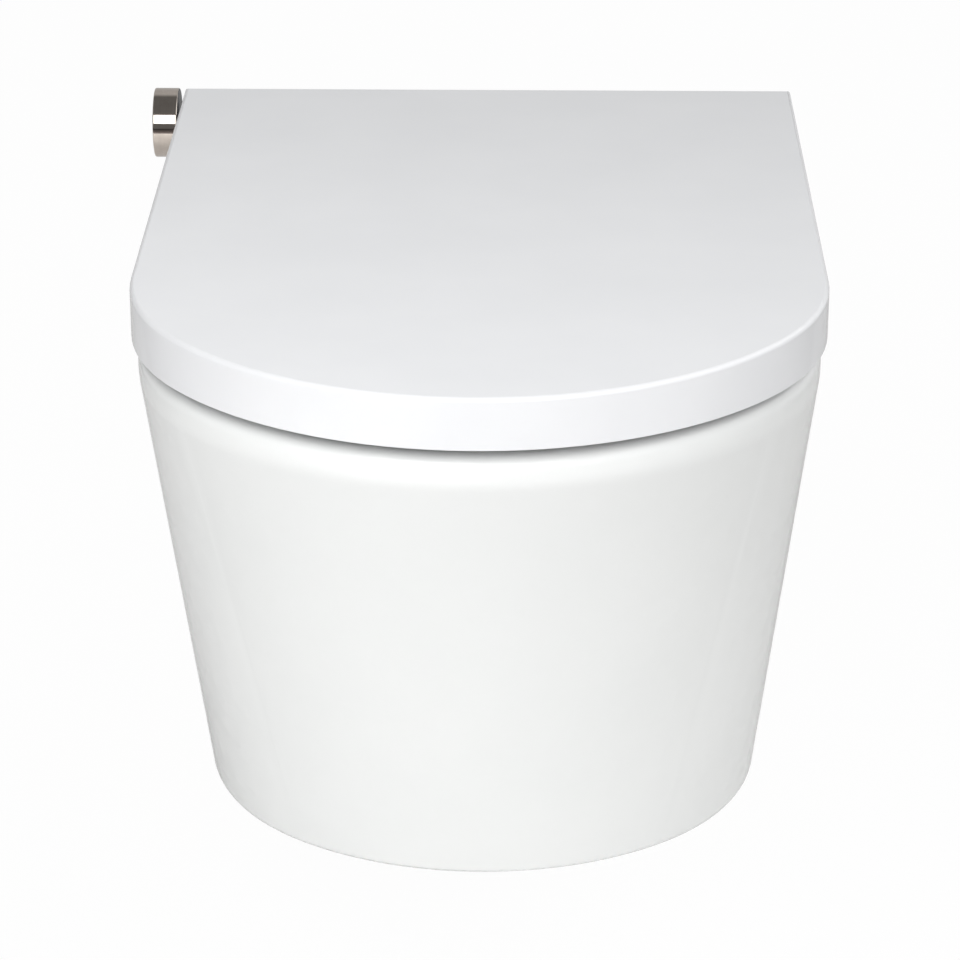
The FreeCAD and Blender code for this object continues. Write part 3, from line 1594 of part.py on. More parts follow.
lead(
    "motor_lead",
    [
        motor_exit,
        motor_exit + tilt.Rotation.multVec(Vector(0, 2 * s.lead_bend.value, 0)),
        Vector(motor_exit.x, motor_lead_y.value, lead_z),
        Vector(board_edge_x, motor_lead_y.value, lead_z),
    ],
)

# The control knob turns an encoder and pushes a switch.
collar = body("knob_collar")
knob_inner = -rim_half - s.knob_standoff
spindle_out = knob_inner - s.knob_bore_depth
collar_out = knob_inner + s.knob_travel + s.play
rod(collar, ADD, X_AXIS, (collar_out, knob_y, knob_z), s.collar_radius, -rim_half - collar_out)
rod(collar, ADD, X_AXIS, (-rim_half, knob_y, knob_z), s.collar_neck_radius, rim_half + nut_inner)
rod(
    collar,
    CUT,
    X_AXIS,
    (collar_out - past, knob_y, knob_z),
    s.spindle_radius + s.running_clearance,
    nut_inner - collar_out + 2 * past,
)

collar_nut = body("collar_nut")
ring = prism(
    collar_nut,
    ADD,
    (nut_inner - s.collar_nut, knob_y, knob_z),
    s.collar_nut_radius,
    s.collar_nut,
)
ring.Placement = Placement(ring.Placement.Base, X_AXIS)
rod(
    collar_nut,
    CUT,
    X_AXIS,
    (nut_inner - s.collar_nut - past, knob_y, knob_z),
    s.collar_neck_radius,
    s.collar_nut + 2 * past,
)

encoder = body("encoder_body")
half_encoder = s.encoder_size / 2
encoder_inner = encoder_outer + s.encoder_depth
rotor_seat = encoder_inner - s.encoder_back
box(
    encoder,
    ADD,
    (encoder_outer, encoder_inner),
    (knob_y - half_encoder, knob_y + half_encoder),
    (floor, knob_z + half_encoder),
)
rod(
    encoder,
    CUT,
    X_AXIS,
    (encoder_outer - past, knob_y, knob_z),
    s.rotor_radius + s.rotor_gap,
    rotor_seat - encoder_outer + past,
)
rod(
    encoder,
    CUT,
    X_AXIS,
    (rotor_seat - past, knob_y, knob_z),
    s.spindle_radius + s.rotor_gap,
    s.encoder_back + 2 * past,
)


def flat_side(owner, way, x, gap):
    """The flat that lets the spindle turn the rotor and the knob."""
    across = s.spindle_radius + gap + s.running_clearance
    return box(
        owner,
        way,
        x,
        (knob_y - across, knob_y + across),
        (knob_z + s.spindle_flat + gap, knob_z + across),
    )


rotor = body("encoder_rotor")
rotor_x = (rotor_seat - s.rotor_length, rotor_seat)
rod(rotor, ADD, X_AXIS, (rotor_x[0], knob_y, knob_z), s.rotor_radius, s.rotor_length)
rod(
    rotor,
    CUT,
    X_AXIS,
    (rotor_x[0] - past, knob_y, knob_z),
    s.spindle_radius + s.running_clearance,
    s.rotor_length + 2 * past,
)
flat_side(rotor, ADD, rotor_x, s.running_clearance)

spindle = body("knob_spindle")
rod(spindle, ADD, X_AXIS, (spindle_out, knob_y, knob_z), s.spindle_radius, spindle_in - spindle_out)
flat_side(spindle, CUT, (spindle_out - past, spindle_in + past), 0)

knob = body("control_knob")
rod(knob, ADD, X_AXIS, (knob_inner - s.knob_height, knob_y, knob_z), s.knob_radius, s.knob_height)
doc.recompute()
disc = knob.Tip
bevel = knob.newObject("PartDesign::Chamfer", "Bevel")
bevel.Base = (disc, [f"Edge{i}" for i, e in enumerate(disc.Shape.Edges, start=1) if e.Closed])
bevel.setExpression("Size", text_of(s.knob_edge))
doc.recompute()
rod(knob, CUT, X_AXIS, (spindle_out, knob_y, knob_z), s.spindle_radius, s.knob_bore_depth + past)
flat_side(knob, ADD, (spindle_out, knob_inner), 0)

dome = body("switch_dome")
rod(dome, ADD, X_AXIS, (spindle_in, knob_y, knob_z), s.dome_radius, s.dome_length)

switch = body("push_switch")
half_switch = s.switch_width / 2
switch_x = (spindle_in + s.dome_length, spindle_in + s.dome_length + s.switch_depth)
box(
    switch,
    ADD,
    switch_x,
    (knob_y - half_switch, knob_y + half_switch),
    (floor, floor + s.switch_height),
)

# Hinge posts stand on the rim with their studs through the ceramic. The pins sit in the seat's lugs, turn
# in the posts and carry the lid.
washers = body("post_washers")
nuts = body("post_nuts")
for side, name in ((-1, "left"), (1, "right")):
    post = body(f"hinge_post_{name}")
    post_x = span(side, post_inner, post_inner + s.post_width)
    middle = side * post_middle
    box(post, ADD, post_x, (hinge_y - s.lug_radius, hinge_y + s.post_rear), (s.rim_height, hinge_z))
    rod(post, ADD, X_AXIS, (post_x[0], hinge_y, hinge_z), s.lug_radius, s.post_width)
    rod(
        post,
        ADD,
        Z_AXIS,
        (middle, hinge_y, s.rim_height - s.post_stud_length),
        s.post_stud_radius,
        s.post_stud_length,
    )
    rod(
        post,
        CUT,
        X_AXIS,
        (post_x[0] - past, hinge_y, hinge_z),
        s.hinge_pin_radius + s.running_clearance,
        s.post_width + 2 * past,
    )
    pin = body(f"hinge_pin_{name}")
    pin_x = span(
        side,
        post_inner - s.lug_gap - s.seat_lug_width,
        post_inner + s.post_width + s.lug_gap + s.lid_lug_width,
    )
    rod(pin, ADD, X_AXIS, (pin_x[0], hinge_y, hinge_z), s.hinge_pin_radius, pin_x[1] - pin_x[0])
    rod(
        washers,
        ADD,
        Z_AXIS,
        (middle, hinge_y, skin_low - s.post_washer),
        s.post_washer_radius,
        s.post_washer,
    )
    rod(
        washers,
        CUT,
        Z_AXIS,
        (middle, hinge_y, skin_low - s.post_washer - past),
        s.post_stud_radius,
        s.post_washer + 2 * past,
    )
    prism(
        nuts,
        ADD,
        (middle, hinge_y, skin_low - s.post_washer - s.nut_height),
        s.nut_radius,
        s.nut_height,
    )
    rod(
        nuts,
        CUT,
        Z_AXIS,
        (middle, hinge_y, skin_low - s.post_washer - s.nut_height - past),
        s.post_stud_radius,
        s.nut_height + 2 * past,
    )

# The seat ring lies inside the lid's skirt, on rubber buffers.
seat = body("seat_ring")
seat_low = s.rim_height + s.buffer_height
seat_top = seat_low + s.seat_height
pad(
    seat,
    lid_outline(seat, "SeatOutline", seat_low, s.lid_skirt + s.seat_gap, s.seat_rear_gap),
    s.seat_height,
)
round_edges(seat, s.seat_edge_radius, flat_at(seat_top))
seat_mouth_front = lid_front - s.seat_front_rim
seat_mouth_half = half_lid - s.seat_side_rim
mouth = oval(
    seat,
    "SeatMouth",
    seat_low,
    (seat_mouth_front + s.seat_mouth_rear) / 2,
    seat_mouth_front - s.seat_mouth_rear,
    2 * seat_mouth_half,
)
pad(seat, mouth, 2 * s.seat_height + past, way="Pocket", both=True)


def at_seat_mouth(e):
    """A test for the upper edge of the seat's opening."""
    front = (seat_mouth_front + past).value
    side = (seat_mouth_half + past).value
    return flat_at(seat_top)(e) and e.BoundBox.YMin > -front and e.BoundBox.XMax < side


round_edges(seat, s.seat_mouth_radius, at_seat_mouth)
for side in (-1, 1):
    lug_x = span(side, post_inner - s.lug_gap - s.seat_lug_width, post_inner - s.lug_gap)
    box(
        seat,
        ADD,
        lug_x,
        (-s.seat_rear_gap - s.seat_edge_radius, hinge_y),
        (hinge_z - s.lug_radius, seat_top),
    )
    rod(seat, ADD, X_AXIS, (lug_x[0], hinge_y, hinge_z), s.lug_radius, s.seat_lug_width)
    rod(
        seat,
        CUT,
        X_AXIS,
        (lug_x[0] - past, hinge_y, hinge_z),
        s.hinge_pin_radius,
        s.seat_lug_width + 2 * past,
    )

seat_buffers = body("seat_buffers")
lid_buffers = body("lid_buffers")
lid_under = lid_top - s.lid_plate
for side in (-1, 1):
    for edge, y in ((s.buffer_front_side, s.buffer_front), (s.buffer_rear_side, s.buffer_rear)):
        x = half_lid - edge
        rod(seat_buffers, ADD, Z_AXIS, (side * x, -y, s.rim_height), s.buffer_radius, s.buffer_height)
        rod(
            lid_buffers,
            ADD,
            Z_AXIS,
            (side * x, -y, seat_top),
            s.lid_buffer_radius,
            lid_under - seat_top,
        )

# The lid is a flat shell with an upright skirt.
lid = body("lid")
pad(lid, lid_outline(lid, "LidOutline", lid_low, 0, s.lid_rear_gap), s.lid_height)
round_edges(lid, s.lid_edge_radius, flat_at(lid_top))
lid_inside = lid_outline(lid, "LidInside", lid_low, s.lid_skirt, s.lid_rear_gap + s.lid_skirt)
pad(lid, lid_inside, s.lid_height - s.lid_plate, way="Pocket", back=True)
lid_inner = half_lid - s.lid_skirt
back_y = (-s.lid_rear_gap - s.lid_skirt - past, -s.lid_rear_gap + past)
box(lid, CUT, (-lid_inner, lid_inner), back_y, (lid_low - past, hinge_z - s.lid_back_drop))
for side in (-1, 1):
    box(
        lid,
        CUT,
        span(side, half_lid - s.lid_back_side, lid_inner),
        back_y,
        (lid_low - past, lid_under),
    )
    lug_near = post_inner + s.post_width + s.lug_gap
    lug_x = span(side, lug_near, lug_near + s.lid_lug_width)
    box(lid, ADD, lug_x, (hinge_y - s.lug_radius, hinge_y + s.lug_radius), (hinge_z, lid_under + past))
    rod(lid, ADD, X_AXIS, (lug_x[0], hinge_y, hinge_z), s.lug_radius, s.lid_lug_width)
    rod(
        lid,
        CUT,
        X_AXIS,
        (lug_x[0] - past, hinge_y, hinge_z),
        s.hinge_pin_radius + s.running_clearance,
        s.lid_lug_width + 2 * past,
    )

doc.recompute()

for item in doc.Objects:
    if "Invalid" in item.State or "Error" in item.State:
        raise RuntimeError(f"{item.Label} can't be built: {item.State}")
os.makedirs("parts", exist_ok=True)
for item in nodes:
    if item.Shape.isNull() or not item.Shape.isValid() or not item.Shape.Solids:
        raise RuntimeError(f"{item.Label} has no valid solid")
    item.Shape.exportStep(os.path.join("parts", f"{item.Label}.step"))
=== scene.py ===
import math

import bpy
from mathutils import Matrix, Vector


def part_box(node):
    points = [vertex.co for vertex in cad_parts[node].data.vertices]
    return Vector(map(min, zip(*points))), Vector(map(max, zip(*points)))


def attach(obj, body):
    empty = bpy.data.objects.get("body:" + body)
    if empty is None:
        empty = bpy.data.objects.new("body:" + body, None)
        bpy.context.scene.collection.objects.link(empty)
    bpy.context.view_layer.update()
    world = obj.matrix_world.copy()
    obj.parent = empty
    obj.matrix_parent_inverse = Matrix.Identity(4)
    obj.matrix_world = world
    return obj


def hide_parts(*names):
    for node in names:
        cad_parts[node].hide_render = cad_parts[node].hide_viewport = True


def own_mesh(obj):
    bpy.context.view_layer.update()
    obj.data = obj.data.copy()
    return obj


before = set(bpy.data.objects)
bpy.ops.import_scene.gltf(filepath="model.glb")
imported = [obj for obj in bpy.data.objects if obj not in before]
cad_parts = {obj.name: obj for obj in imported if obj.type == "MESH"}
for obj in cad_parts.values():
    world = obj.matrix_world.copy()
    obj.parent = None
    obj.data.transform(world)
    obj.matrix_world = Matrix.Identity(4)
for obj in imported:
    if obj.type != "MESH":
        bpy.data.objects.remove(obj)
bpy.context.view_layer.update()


# Ceramic: skirt, bowl and trapway are slip-cast apart, joined with slip, glazed white and fired in one.
# The glaze runs over all that shows. The face against the wall is wiped bare before firing.
def welded(node, crease, ease):
    """A welded copy of a node with eased edges, shaded round everywhere but at its creases."""
    copy = bpy.data.objects.new(f"{node}_skin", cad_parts[node].data.copy())
    copy.data.materials.clear()
    bpy.context.scene.collection.objects.link(copy)
    bpy.ops.object.select_all(action="DESELECT")
    bpy.context.view_layer.objects.active = copy
    copy.select_set(True)
    bpy.ops.mesh.customdata_custom_splitnormals_clear()
    bpy.ops.object.mode_set(mode="EDIT")
    bpy.ops.mesh.select_all(action="SELECT")
    bpy.ops.mesh.remove_doubles(threshold=1e-6)
    if ease:
        bpy.ops.mesh.dissolve_limited(angle_limit=math.radians(0.5))
    bpy.ops.mesh.normals_make_consistent(inside=False)
    bpy.ops.object.mode_set(mode="OBJECT")
    if ease:
        bevel = copy.modifiers.new("Ease", "BEVEL")
        bevel.width = ease
        bevel.segments = 2
        bevel.limit_method = "ANGLE"
        bevel.angle_limit = math.radians(40)
        bpy.ops.object.modifier_apply(modifier="Ease")
    bpy.ops.object.shade_smooth_by_angle(angle=math.radians(crease))
    even = copy.modifiers.new("Even", "WEIGHTED_NORMAL")
    even.keep_sharp = True
    bpy.ops.object.modifier_apply(modifier="Even")
    return copy


def dress(piece, body, slot, material, *nodes):
    """Fixes a finished piece to its body, and lets it stand for the nodes it was made from."""
    piece.data.materials.append(material)
    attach(piece, body)
    if nodes:
        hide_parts(*nodes)


def skin(node, body, slot, material, crease, ease=0.0):
    """Dresses a node's welded copy. The crease is in degrees, the ease in metres."""
    piece = welded(node, crease, ease)
    dress(piece, body, slot, material, node)
    return piece


def add(material, kind, wires=None, **settings):
    """A shader node with its settings made and its inputs wired or filled."""
    made = material.node_tree.nodes.new(kind)
    for key, value in settings.items():
        setattr(made, key, value)
    for key, value in (wires or {}).items():
        if isinstance(value, bpy.types.NodeSocket):
            material.node_tree.links.new(value, made.inputs[key])
        else:
            made.inputs[key].default_value = value
    return made


def wire(material, name, socket):
    """Feeds a socket into the material's own shader."""
    material.node_tree.links.new(socket, material.node_tree.nodes["Principled BSDF"].inputs[name])


def tones(material, factor, *stops):
    """A ramp through colours, each with its place."""
    ramp = add(material, "ShaderNodeValToRGB", {"Fac": factor})
    while len(ramp.color_ramp.elements) < len(stops):
        ramp.color_ramp.elements.new(0.5)
    for element, (place, color) in zip(ramp.color_ramp.elements, stops):
        element.position = place
        element.color = (*color, 1.0)
    return ramp.outputs["Color"]


def noise(material, place, scale, detail):
    """Noise over a place, with a scale to the metre."""
    settings = {"Vector": place, "Scale": scale, "Detail": detail}
    return add(material, "ShaderNodeTexNoise", settings).outputs["Fac"]


noise_low = 0.3
noise_high = 0.7


def grained(name, dark, light, patches, rough, grain, depth, metal=0.0):
    """A surface that wanders in patches between two tones and two roughnesses, over a fine grain."""
    material = bpy.data.materials.new(name)
    material.use_nodes = True
    material.node_tree.nodes["Principled BSDF"].inputs["Metallic"].default_value = metal
    place = add(material, "ShaderNodeTexCoord").outputs["Object"]
    cloud = noise(material, place, scale=patches, detail=4.0)
    wire(material, "Base Color", tones(material, cloud, (noise_low, dark), (noise_high, light)))
    spread = {"Value": cloud, "From Min": noise_low, "From Max": noise_high}
    spread.update({"To Min": rough[0], "To Max": rough[1]})
    wire(material, "Roughness", add(material, "ShaderNodeMapRange", spread).outputs["Result"])
    fine = noise(material, place, scale=grain, detail=2.0)
    bump = add(material, "ShaderNodeBump", {"Height": fine, "Strength": 0.3, "Distance": depth})
    wire(material, "Normal", bump.outputs["Normal"])
    return material


glaze = grained(
    "white_glaze", dark=(0.842, 0.856, 0.85), light=(0.862, 0.874, 0.868), patches=9.0,
    rough=(0.05, 0.09), grain=6.0, depth=0.0006,
)
wiped_from = -0.0009
clay_dark = (0.62, 0.58, 0.52)
clay_light = (0.72, 0.69, 0.63)
clay_rougher = 0.7
glaze_shader = glaze.node_tree.nodes["Principled BSDF"].inputs
glaze_tone = glaze_shader["Base Color"].links[0].from_socket
glaze_rough = glaze_shader["Roughness"].links[0].from_socket
where = add(glaze, "ShaderNodeTexCoord").outputs["Object"]
depth_in = add(glaze, "ShaderNodeSeparateXYZ", {"Vector": where}).outputs["Y"]
bare = add(glaze, "ShaderNodeMath", {0: depth_in, 1: wiped_from}, operation="GREATER_THAN").outputs["Value"]
clay_grain = noise(glaze, where, scale=420.0, detail=5.0)
clay = tones(glaze, clay_grain, (noise_low, clay_dark), (noise_high, clay_light))
tone = add(glaze, "ShaderNodeMix", {0: bare, 6: glaze_tone, 7: clay}, data_type="RGBA")
wire(glaze, "Base Color", tone.outputs[2])
dull = add(glaze, "ShaderNodeMath", {0: bare, 1: clay_rougher, 2: glaze_rough}, operation="MULTIPLY_ADD")
wire(glaze, "Roughness", dull.outputs["Value"])
for node in ("ceramic_skirt", "ceramic_bowl", "ceramic_trap"):
    skin(node, "root", "ceramic", glaze, crease=32.0)


# Wall sleeves: two bushes moulded from nylon and pressed into the ceramic.
# The studs in the wall pass through them and don't touch the ceramic.
nylon = grained(
    "white_nylon", dark=(0.7, 0.7, 0.67), light=(0.76, 0.76, 0.74), patches=60.0,
    rough=(0.42, 0.52), grain=2600.0, depth=0.00004,
)
skin("wall_sleeves", "root", "sleeve_plastic", nylon, crease=40.0, ease=0.0004)


# Tray of the shower unit: injection-moulded in light grey, open at the top, let into the ceramic's deck.
# Two bolts with rubber washers pull it down from below.
moulded_grey = grained(
    "moulded_grey", dark=(0.46, 0.475, 0.49), light=(0.51, 0.52, 0.53), patches=35.0,
    rough=(0.4, 0.5), grain=3000.0, depth=0.00005,
)
skin("unit_base", "root", "unit_plastic", moulded_grey, crease=40.0, ease=0.0004)
zinc = grained(
    "zinc_plate", dark=(0.5, 0.51, 0.53), light=(0.62, 0.62, 0.62), patches=240.0,
    rough=(0.28, 0.38), grain=5000.0, depth=0.00002, metal=1.0,
)
for node in ("unit_bolts", "unit_nuts"):
    skin(node, "root", "steel", zinc, crease=30.0, ease=0.0003)
black_rubber = grained(
    "black_rubber", dark=(0.018, 0.018, 0.019), light=(0.03, 0.03, 0.031), patches=90.0,
    rough=(0.55, 0.7), grain=2200.0, depth=0.00006,
)
skin("unit_washers", "root", "rubber", black_rubber, crease=40.0, ease=0.0004)


# Nozzle: a moulded guide slopes down towards the bowl. The spray arm runs in it, with its tip pressed on
# and a lip seal behind the tip. A small motor drives the arm's rack with an acetal pinion.
skin("nozzle_guide", "root", "unit_plastic", moulded_grey, crease=40.0, ease=0.0003)
nozzle_white = grained(
    "nozzle_white", dark=(0.76, 0.775, 0.785), light=(0.82, 0.83, 0.835), patches=50.0,
    rough=(0.28, 0.33), grain=1800.0, depth=0.00002,
)
for node in ("spray_arm", "nozzle_tip"):
    skin(node, "spray", "nozzle_plastic", nozzle_white, crease=40.0, ease=0.0002)
skin("arm_seal", "spray", "rubber", black_rubber, crease=40.0)
skin("feed_tube", "root", "nozzle_plastic", nozzle_white, crease=50.0)
acetal = grained(
    "natural_acetal", dark=(0.7, 0.67, 0.58), light=(0.76, 0.735, 0.66), patches=120.0,
    rough=(0.32, 0.42), grain=2600.0, depth=0.00003,
)
skin("drive_pinion", "pinion", "gear_plastic", acetal, crease=30.0, ease=0.0001)
drawn_steel = grained(
    "drawn_steel", dark=(0.42, 0.42, 0.44), light=(0.58, 0.58, 0.59), patches=300.0,
    rough=(0.2, 0.27), grain=4200.0, depth=0.00002, metal=1.0,
)
skin("drive_motor", "root", "motor_metal", drawn_steel, crease=35.0, ease=0.0003)


# Water parts: a turned brass inlet below the tray, a solenoid valve on it and a flow heater with cast ribs.
# Short rubber hoses join them and feed the nozzle.
brass = grained(
    "turned_brass", dark=(0.56, 0.4, 0.16), light=(0.68, 0.51, 0.23), patches=180.0,
    rough=(0.18, 0.27), grain=3600.0, depth=0.00003, metal=1.0,
)
skin("water_inlet", "root", "fitting_brass", brass, crease=35.0, ease=0.0003)
moulded_black = grained(
    "moulded_black", dark=(0.018, 0.018, 0.02), light=(0.03, 0.03, 0.032), patches=45.0,
    rough=(0.36, 0.48), grain=2800.0, depth=0.00005,
)
skin("solenoid_valve", "root", "valve_plastic", moulded_black, crease=35.0, ease=0.0003)
cast_aluminium = grained(
    "cast_aluminium", dark=(0.56, 0.57, 0.58), light=(0.68, 0.69, 0.7), patches=140.0,
    rough=(0.38, 0.55), grain=1500.0, depth=0.0001, metal=1.0,
)
skin("water_heater", "root", "heater_aluminium", cast_aluminium, crease=35.0, ease=0.0004)
for node in ("cold_hose", "warm_hose"):
    skin(node, "root", "rubber", black_rubber, crease=50.0)


# Electrics: the mains lead comes up through a gland to a potted supply. This feeds the board on its pillars.
# Leads in dark sheaths run along the tray to the heater, the valve, the motor and the switch.
skin("cable_gland", "root", "valve_plastic", moulded_black, crease=30.0, ease=0.0003)
skin("power_supply", "root", "valve_plastic", moulded_black, crease=35.0, ease=0.0004)
resist = grained(
    "solder_resist", dark=(0.012, 0.095, 0.04), light=(0.018, 0.12, 0.052), patches=400.0,
    rough=(0.3, 0.4), grain=5000.0, depth=0.00002,
)
skin("control_board", "root", "board_green", resist, crease=35.0, ease=0.0002)
skin("board_parts", "root", "board_dark", moulded_black, crease=35.0, ease=0.0003)
sheath = grained(
    "lead_sheath", dark=(0.03, 0.03, 0.033), light=(0.045, 0.045, 0.048), patches=160.0,
    rough=(0.4, 0.5), grain=2400.0, depth=0.00004,
)
for node in ("mains_lead", "supply_lead", "switch_lead", "heater_lead", "valve_lead", "motor_lead"):
    skin(node, "root", "lead_plastic", sheath, crease=50.0)


# Encoder and switch: black and grey mouldings that stand on the tray's floor. The knob's steel spindle
# turns the encoder's acetal rotor and pushes the switch through a rubber dome, which gives way.
# A nut behind the tray's wall holds the collar that the spindle runs in.
skin("encoder_body", "root", "valve_plastic", moulded_black, crease=35.0, ease=0.0003)
skin("encoder_rotor", "rotor", "gear_plastic", acetal, crease=35.0, ease=0.0002)
skin("push_switch", "root", "unit_plastic", moulded_grey, crease=35.0, ease=0.0003)
dome = skin("switch_dome", "root", "rubber", black_rubber, crease=40.0)
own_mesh(dome)
skin("collar_nut", "root", "steel", zinc, crease=30.0, ease=0.0003)
skin("knob_spindle", "knob", "steel", drawn_steel, crease=35.0, ease=0.0002)


# Collar: a turned and chromed sleeve in the side of the unit, with a groove around it.
# It guides the knob's spindle and is held by the nut behind the tray's wall.
knob_low, knob_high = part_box("control_knob")
spindle_low, spindle_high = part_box("knob_spindle")
collar_low, collar_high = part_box("knob_collar")
knob_axis = (knob_low + knob_high) / 2
spindle_radius = (spindle_high.y - spindle_low.y) / 2


def turned(name, rings):
    """A turned piece about the knob's axis, drawn ring by ring from places along it and radii."""
    along, radius = rings[0]
    bpy.ops.object.select_all(action="DESELECT")
    bpy.ops.mesh.primitive_circle_add(
        vertices=192, radius=radius,
        location=(along, knob_axis.y, knob_axis.z), rotation=(0.0, math.radians(90), 0.0),
    )
    piece = bpy.context.object
    piece.name = name
    bpy.ops.object.transform_apply(location=True, rotation=True, scale=True)
    bpy.ops.object.mode_set(mode="EDIT")
    bpy.ops.mesh.select_mode(type="EDGE")
    bpy.ops.mesh.select_all(action="SELECT")
    for further, wider in rings[1:]:
        bpy.ops.mesh.extrude_region_move(TRANSFORM_OT_translate={"value": (further - along, 0.0, 0.0)})
        grow = wider / radius
        centre = (further, knob_axis.y, knob_axis.z)
        bpy.ops.transform.resize(value=(1.0, grow, grow), center_override=centre)
        along, radius = further, wider
    bpy.ops.mesh.select_all(action="SELECT")
    bpy.ops.mesh.remove_doubles(threshold=1e-6)
    bpy.ops.mesh.fill_holes(sides=0)
    bpy.ops.mesh.normals_make_consistent(inside=False)
    bpy.ops.object.mode_set(mode="OBJECT")
    bpy.ops.object.shade_smooth_by_angle(angle=math.radians(30))
    return piece


cover_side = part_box("rear_cover")[0].x
collar_rim = collar_high.z - knob_axis.z
play = 0.0001
bore = spindle_radius + play
neck = collar_rim * 0.54
lip = 0.0006
lip_bend = 0.0002
groove = (collar_low.x + cover_side) / 2
groove_half = 0.0007
groove_floor_half = 0.0004
groove_floor = collar_rim - 0.0005
collar = turned("knob_collar_turned", (
    (collar_low.x, bore),
    (collar_low.x, collar_rim - lip),
    (collar_low.x + lip_bend, collar_rim - lip_bend),
    (collar_low.x + lip, collar_rim),
    (groove - groove_half, collar_rim),
    (groove - groove_floor_half, groove_floor),
    (groove + groove_floor_half, groove_floor),
    (groove + groove_half, collar_rim),
    (cover_side - lip_bend, collar_rim),
    (cover_side, collar_rim - lip_bend),
    (cover_side, neck),
    (collar_high.x, neck),
    (collar_high.x, bore),
    (collar_low.x, bore),
))
chrome = grained(
    "chrome_plate", dark=(0.6, 0.6, 0.61), light=(0.66, 0.66, 0.67), patches=90.0,
    rough=(0.05, 0.09), grain=1200.0, depth=0.00001, metal=1.0,
)
dress(collar, "root", "collar_chrome", chrome, "knob_collar")


# Knob: turned from stainless steel, with a shallow dished face and broken edges. Its back face is coloured
# black as painted shade, for the dark gap it faces.
# Fine turning marks run around it. It is pressed on the D-shaped end of the spindle.
knob_radius = (knob_high.z - knob_low.z) / 2
dish = 0.0004
dish_slope = 0.0003
dish_centre = 0.0006
dish_floor = knob_radius * 0.55
dish_bend = knob_radius * 0.8
dish_rim = knob_radius * 0.9
edge = 0.0006
edge_along = 0.00015
edge_radius = knob_radius - 0.00025
band_end = 0.0009
mouth = 0.0003
knob = turned("control_knob_turned", (
    (knob_low.x + dish, dish_centre),
    (knob_low.x + dish, dish_floor),
    (knob_low.x + dish_slope, dish_bend),
    (knob_low.x, dish_rim),
    (knob_low.x, knob_radius - edge),
    (knob_low.x + edge_along, edge_radius),
    (knob_low.x + edge, knob_radius),
    (knob_low.x + band_end, knob_radius),
    (knob_high.x - band_end, knob_radius),
    (knob_high.x - edge, knob_radius),
    (knob_high.x - edge_along, edge_radius),
    (knob_high.x, knob_radius - edge),
    (knob_high.x, spindle_radius + mouth),
    (knob_high.x - mouth, spindle_radius),
    (spindle_low.x, spindle_radius),
))
steel_dark = (0.6, 0.53, 0.475)
steel_light = (0.73, 0.655, 0.59)
marks_share = 0.6
turned_steel = bpy.data.materials.new("turned_steel")
turned_steel.use_nodes = True
turned_steel.node_tree.nodes["Principled BSDF"].inputs["Metallic"].default_value = 1.0
steel_place = add(turned_steel, "ShaderNodeTexCoord").outputs["Object"]
from_axis = {0: steel_place, 1: tuple(knob_axis)}
centred = add(turned_steel, "ShaderNodeVectorMath", from_axis, operation="SUBTRACT").outputs["Vector"]
steel_ways = add(turned_steel, "ShaderNodeSeparateXYZ", {"Vector": centred}).outputs
across_axis = {"Y": steel_ways["Y"], "Z": steel_ways["Z"]}
flat_way = add(turned_steel, "ShaderNodeCombineXYZ", across_axis).outputs["Vector"]
reach = add(turned_steel, "ShaderNodeVectorMath", {0: flat_way}, operation="LENGTH").outputs["Value"]
lathe = add(turned_steel, "ShaderNodeCombineXYZ", {"X": steel_ways["X"], "Y": reach}).outputs["Vector"]
marks = noise(turned_steel, lathe, scale=4200.0, detail=3.0)
wear = noise(turned_steel, steel_place, scale=130.0, detail=5.0)
worn_marks = {0: marks, 1: marks_share, 2: wear}
steel_mix = add(turned_steel, "ShaderNodeMath", worn_marks, operation="MULTIPLY_ADD").outputs["Value"]
wire(turned_steel, "Base Color", tones(turned_steel, steel_mix, (0.5, steel_dark), (1.0, steel_light)))
polish = {"Value": marks, "From Min": noise_low, "From Max": noise_high, "To Min": 0.05, "To Max": 0.09}
wire(turned_steel, "Roughness", add(turned_steel, "ShaderNodeMapRange", polish).outputs["Result"])
steel_bump = add(turned_steel, "ShaderNodeBump", {"Height": marks, "Strength": 0.06, "Distance": 0.00001})
wire(turned_steel, "Normal", steel_bump.outputs["Normal"])
dress(knob, "knob", "knob_steel", turned_steel, "control_knob")
# Painted shade: the back face takes the black moulding's colour, which stands in for the dark gap that this
# face mirrors.
knob.data.materials.append(moulded_black)
painted_shade_depth = 0.0002
for face in knob.data.polygons:
    if face.center.x > knob_high.x - painted_shade_depth:
        face.material_index = 1


# Covers: satin white mouldings. The console closes the well in front of the seat's hinge.
# The rear cover stands against the wall behind the lid and carries the knob on its side.
satin_white = grained(
    "satin_white", dark=(0.8, 0.805, 0.805), light=(0.82, 0.825, 0.825), patches=40.0,
    rough=(0.29, 0.33), grain=500.0, depth=0.00001,
)
for node in ("console_cover", "rear_cover"):
    skin(node, "root", "cover_plastic", satin_white, crease=35.0, ease=0.0003)


# Slot pad: a soft white rubber pad with round edges, stuck on the rim beside the console's tongue.
# It closes the rest of the ceramic's slot on the drive's side.
pad_size = (0.0064, 0.0142, 0.0022)
pad_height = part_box("console_cover")[0].z + 0.0012
pad_edge = 0.0008
bpy.ops.object.select_all(action="DESELECT")
bpy.ops.mesh.primitive_cube_add(size=1.0, location=(0.0333, -0.1833, pad_height))
slot_pad = bpy.context.object
slot_pad.name = "slot_pad"
slot_pad.scale = pad_size
bpy.ops.object.transform_apply(location=True, rotation=True, scale=True)
bpy.ops.object.mode_set(mode="EDIT")
bpy.ops.mesh.select_all(action="SELECT")
bpy.ops.mesh.bevel(offset=pad_edge, segments=4, affect="EDGES")
bpy.ops.mesh.normals_make_consistent(inside=False)
bpy.ops.object.mode_set(mode="OBJECT")
bpy.ops.object.shade_smooth_by_angle(angle=math.radians(35))
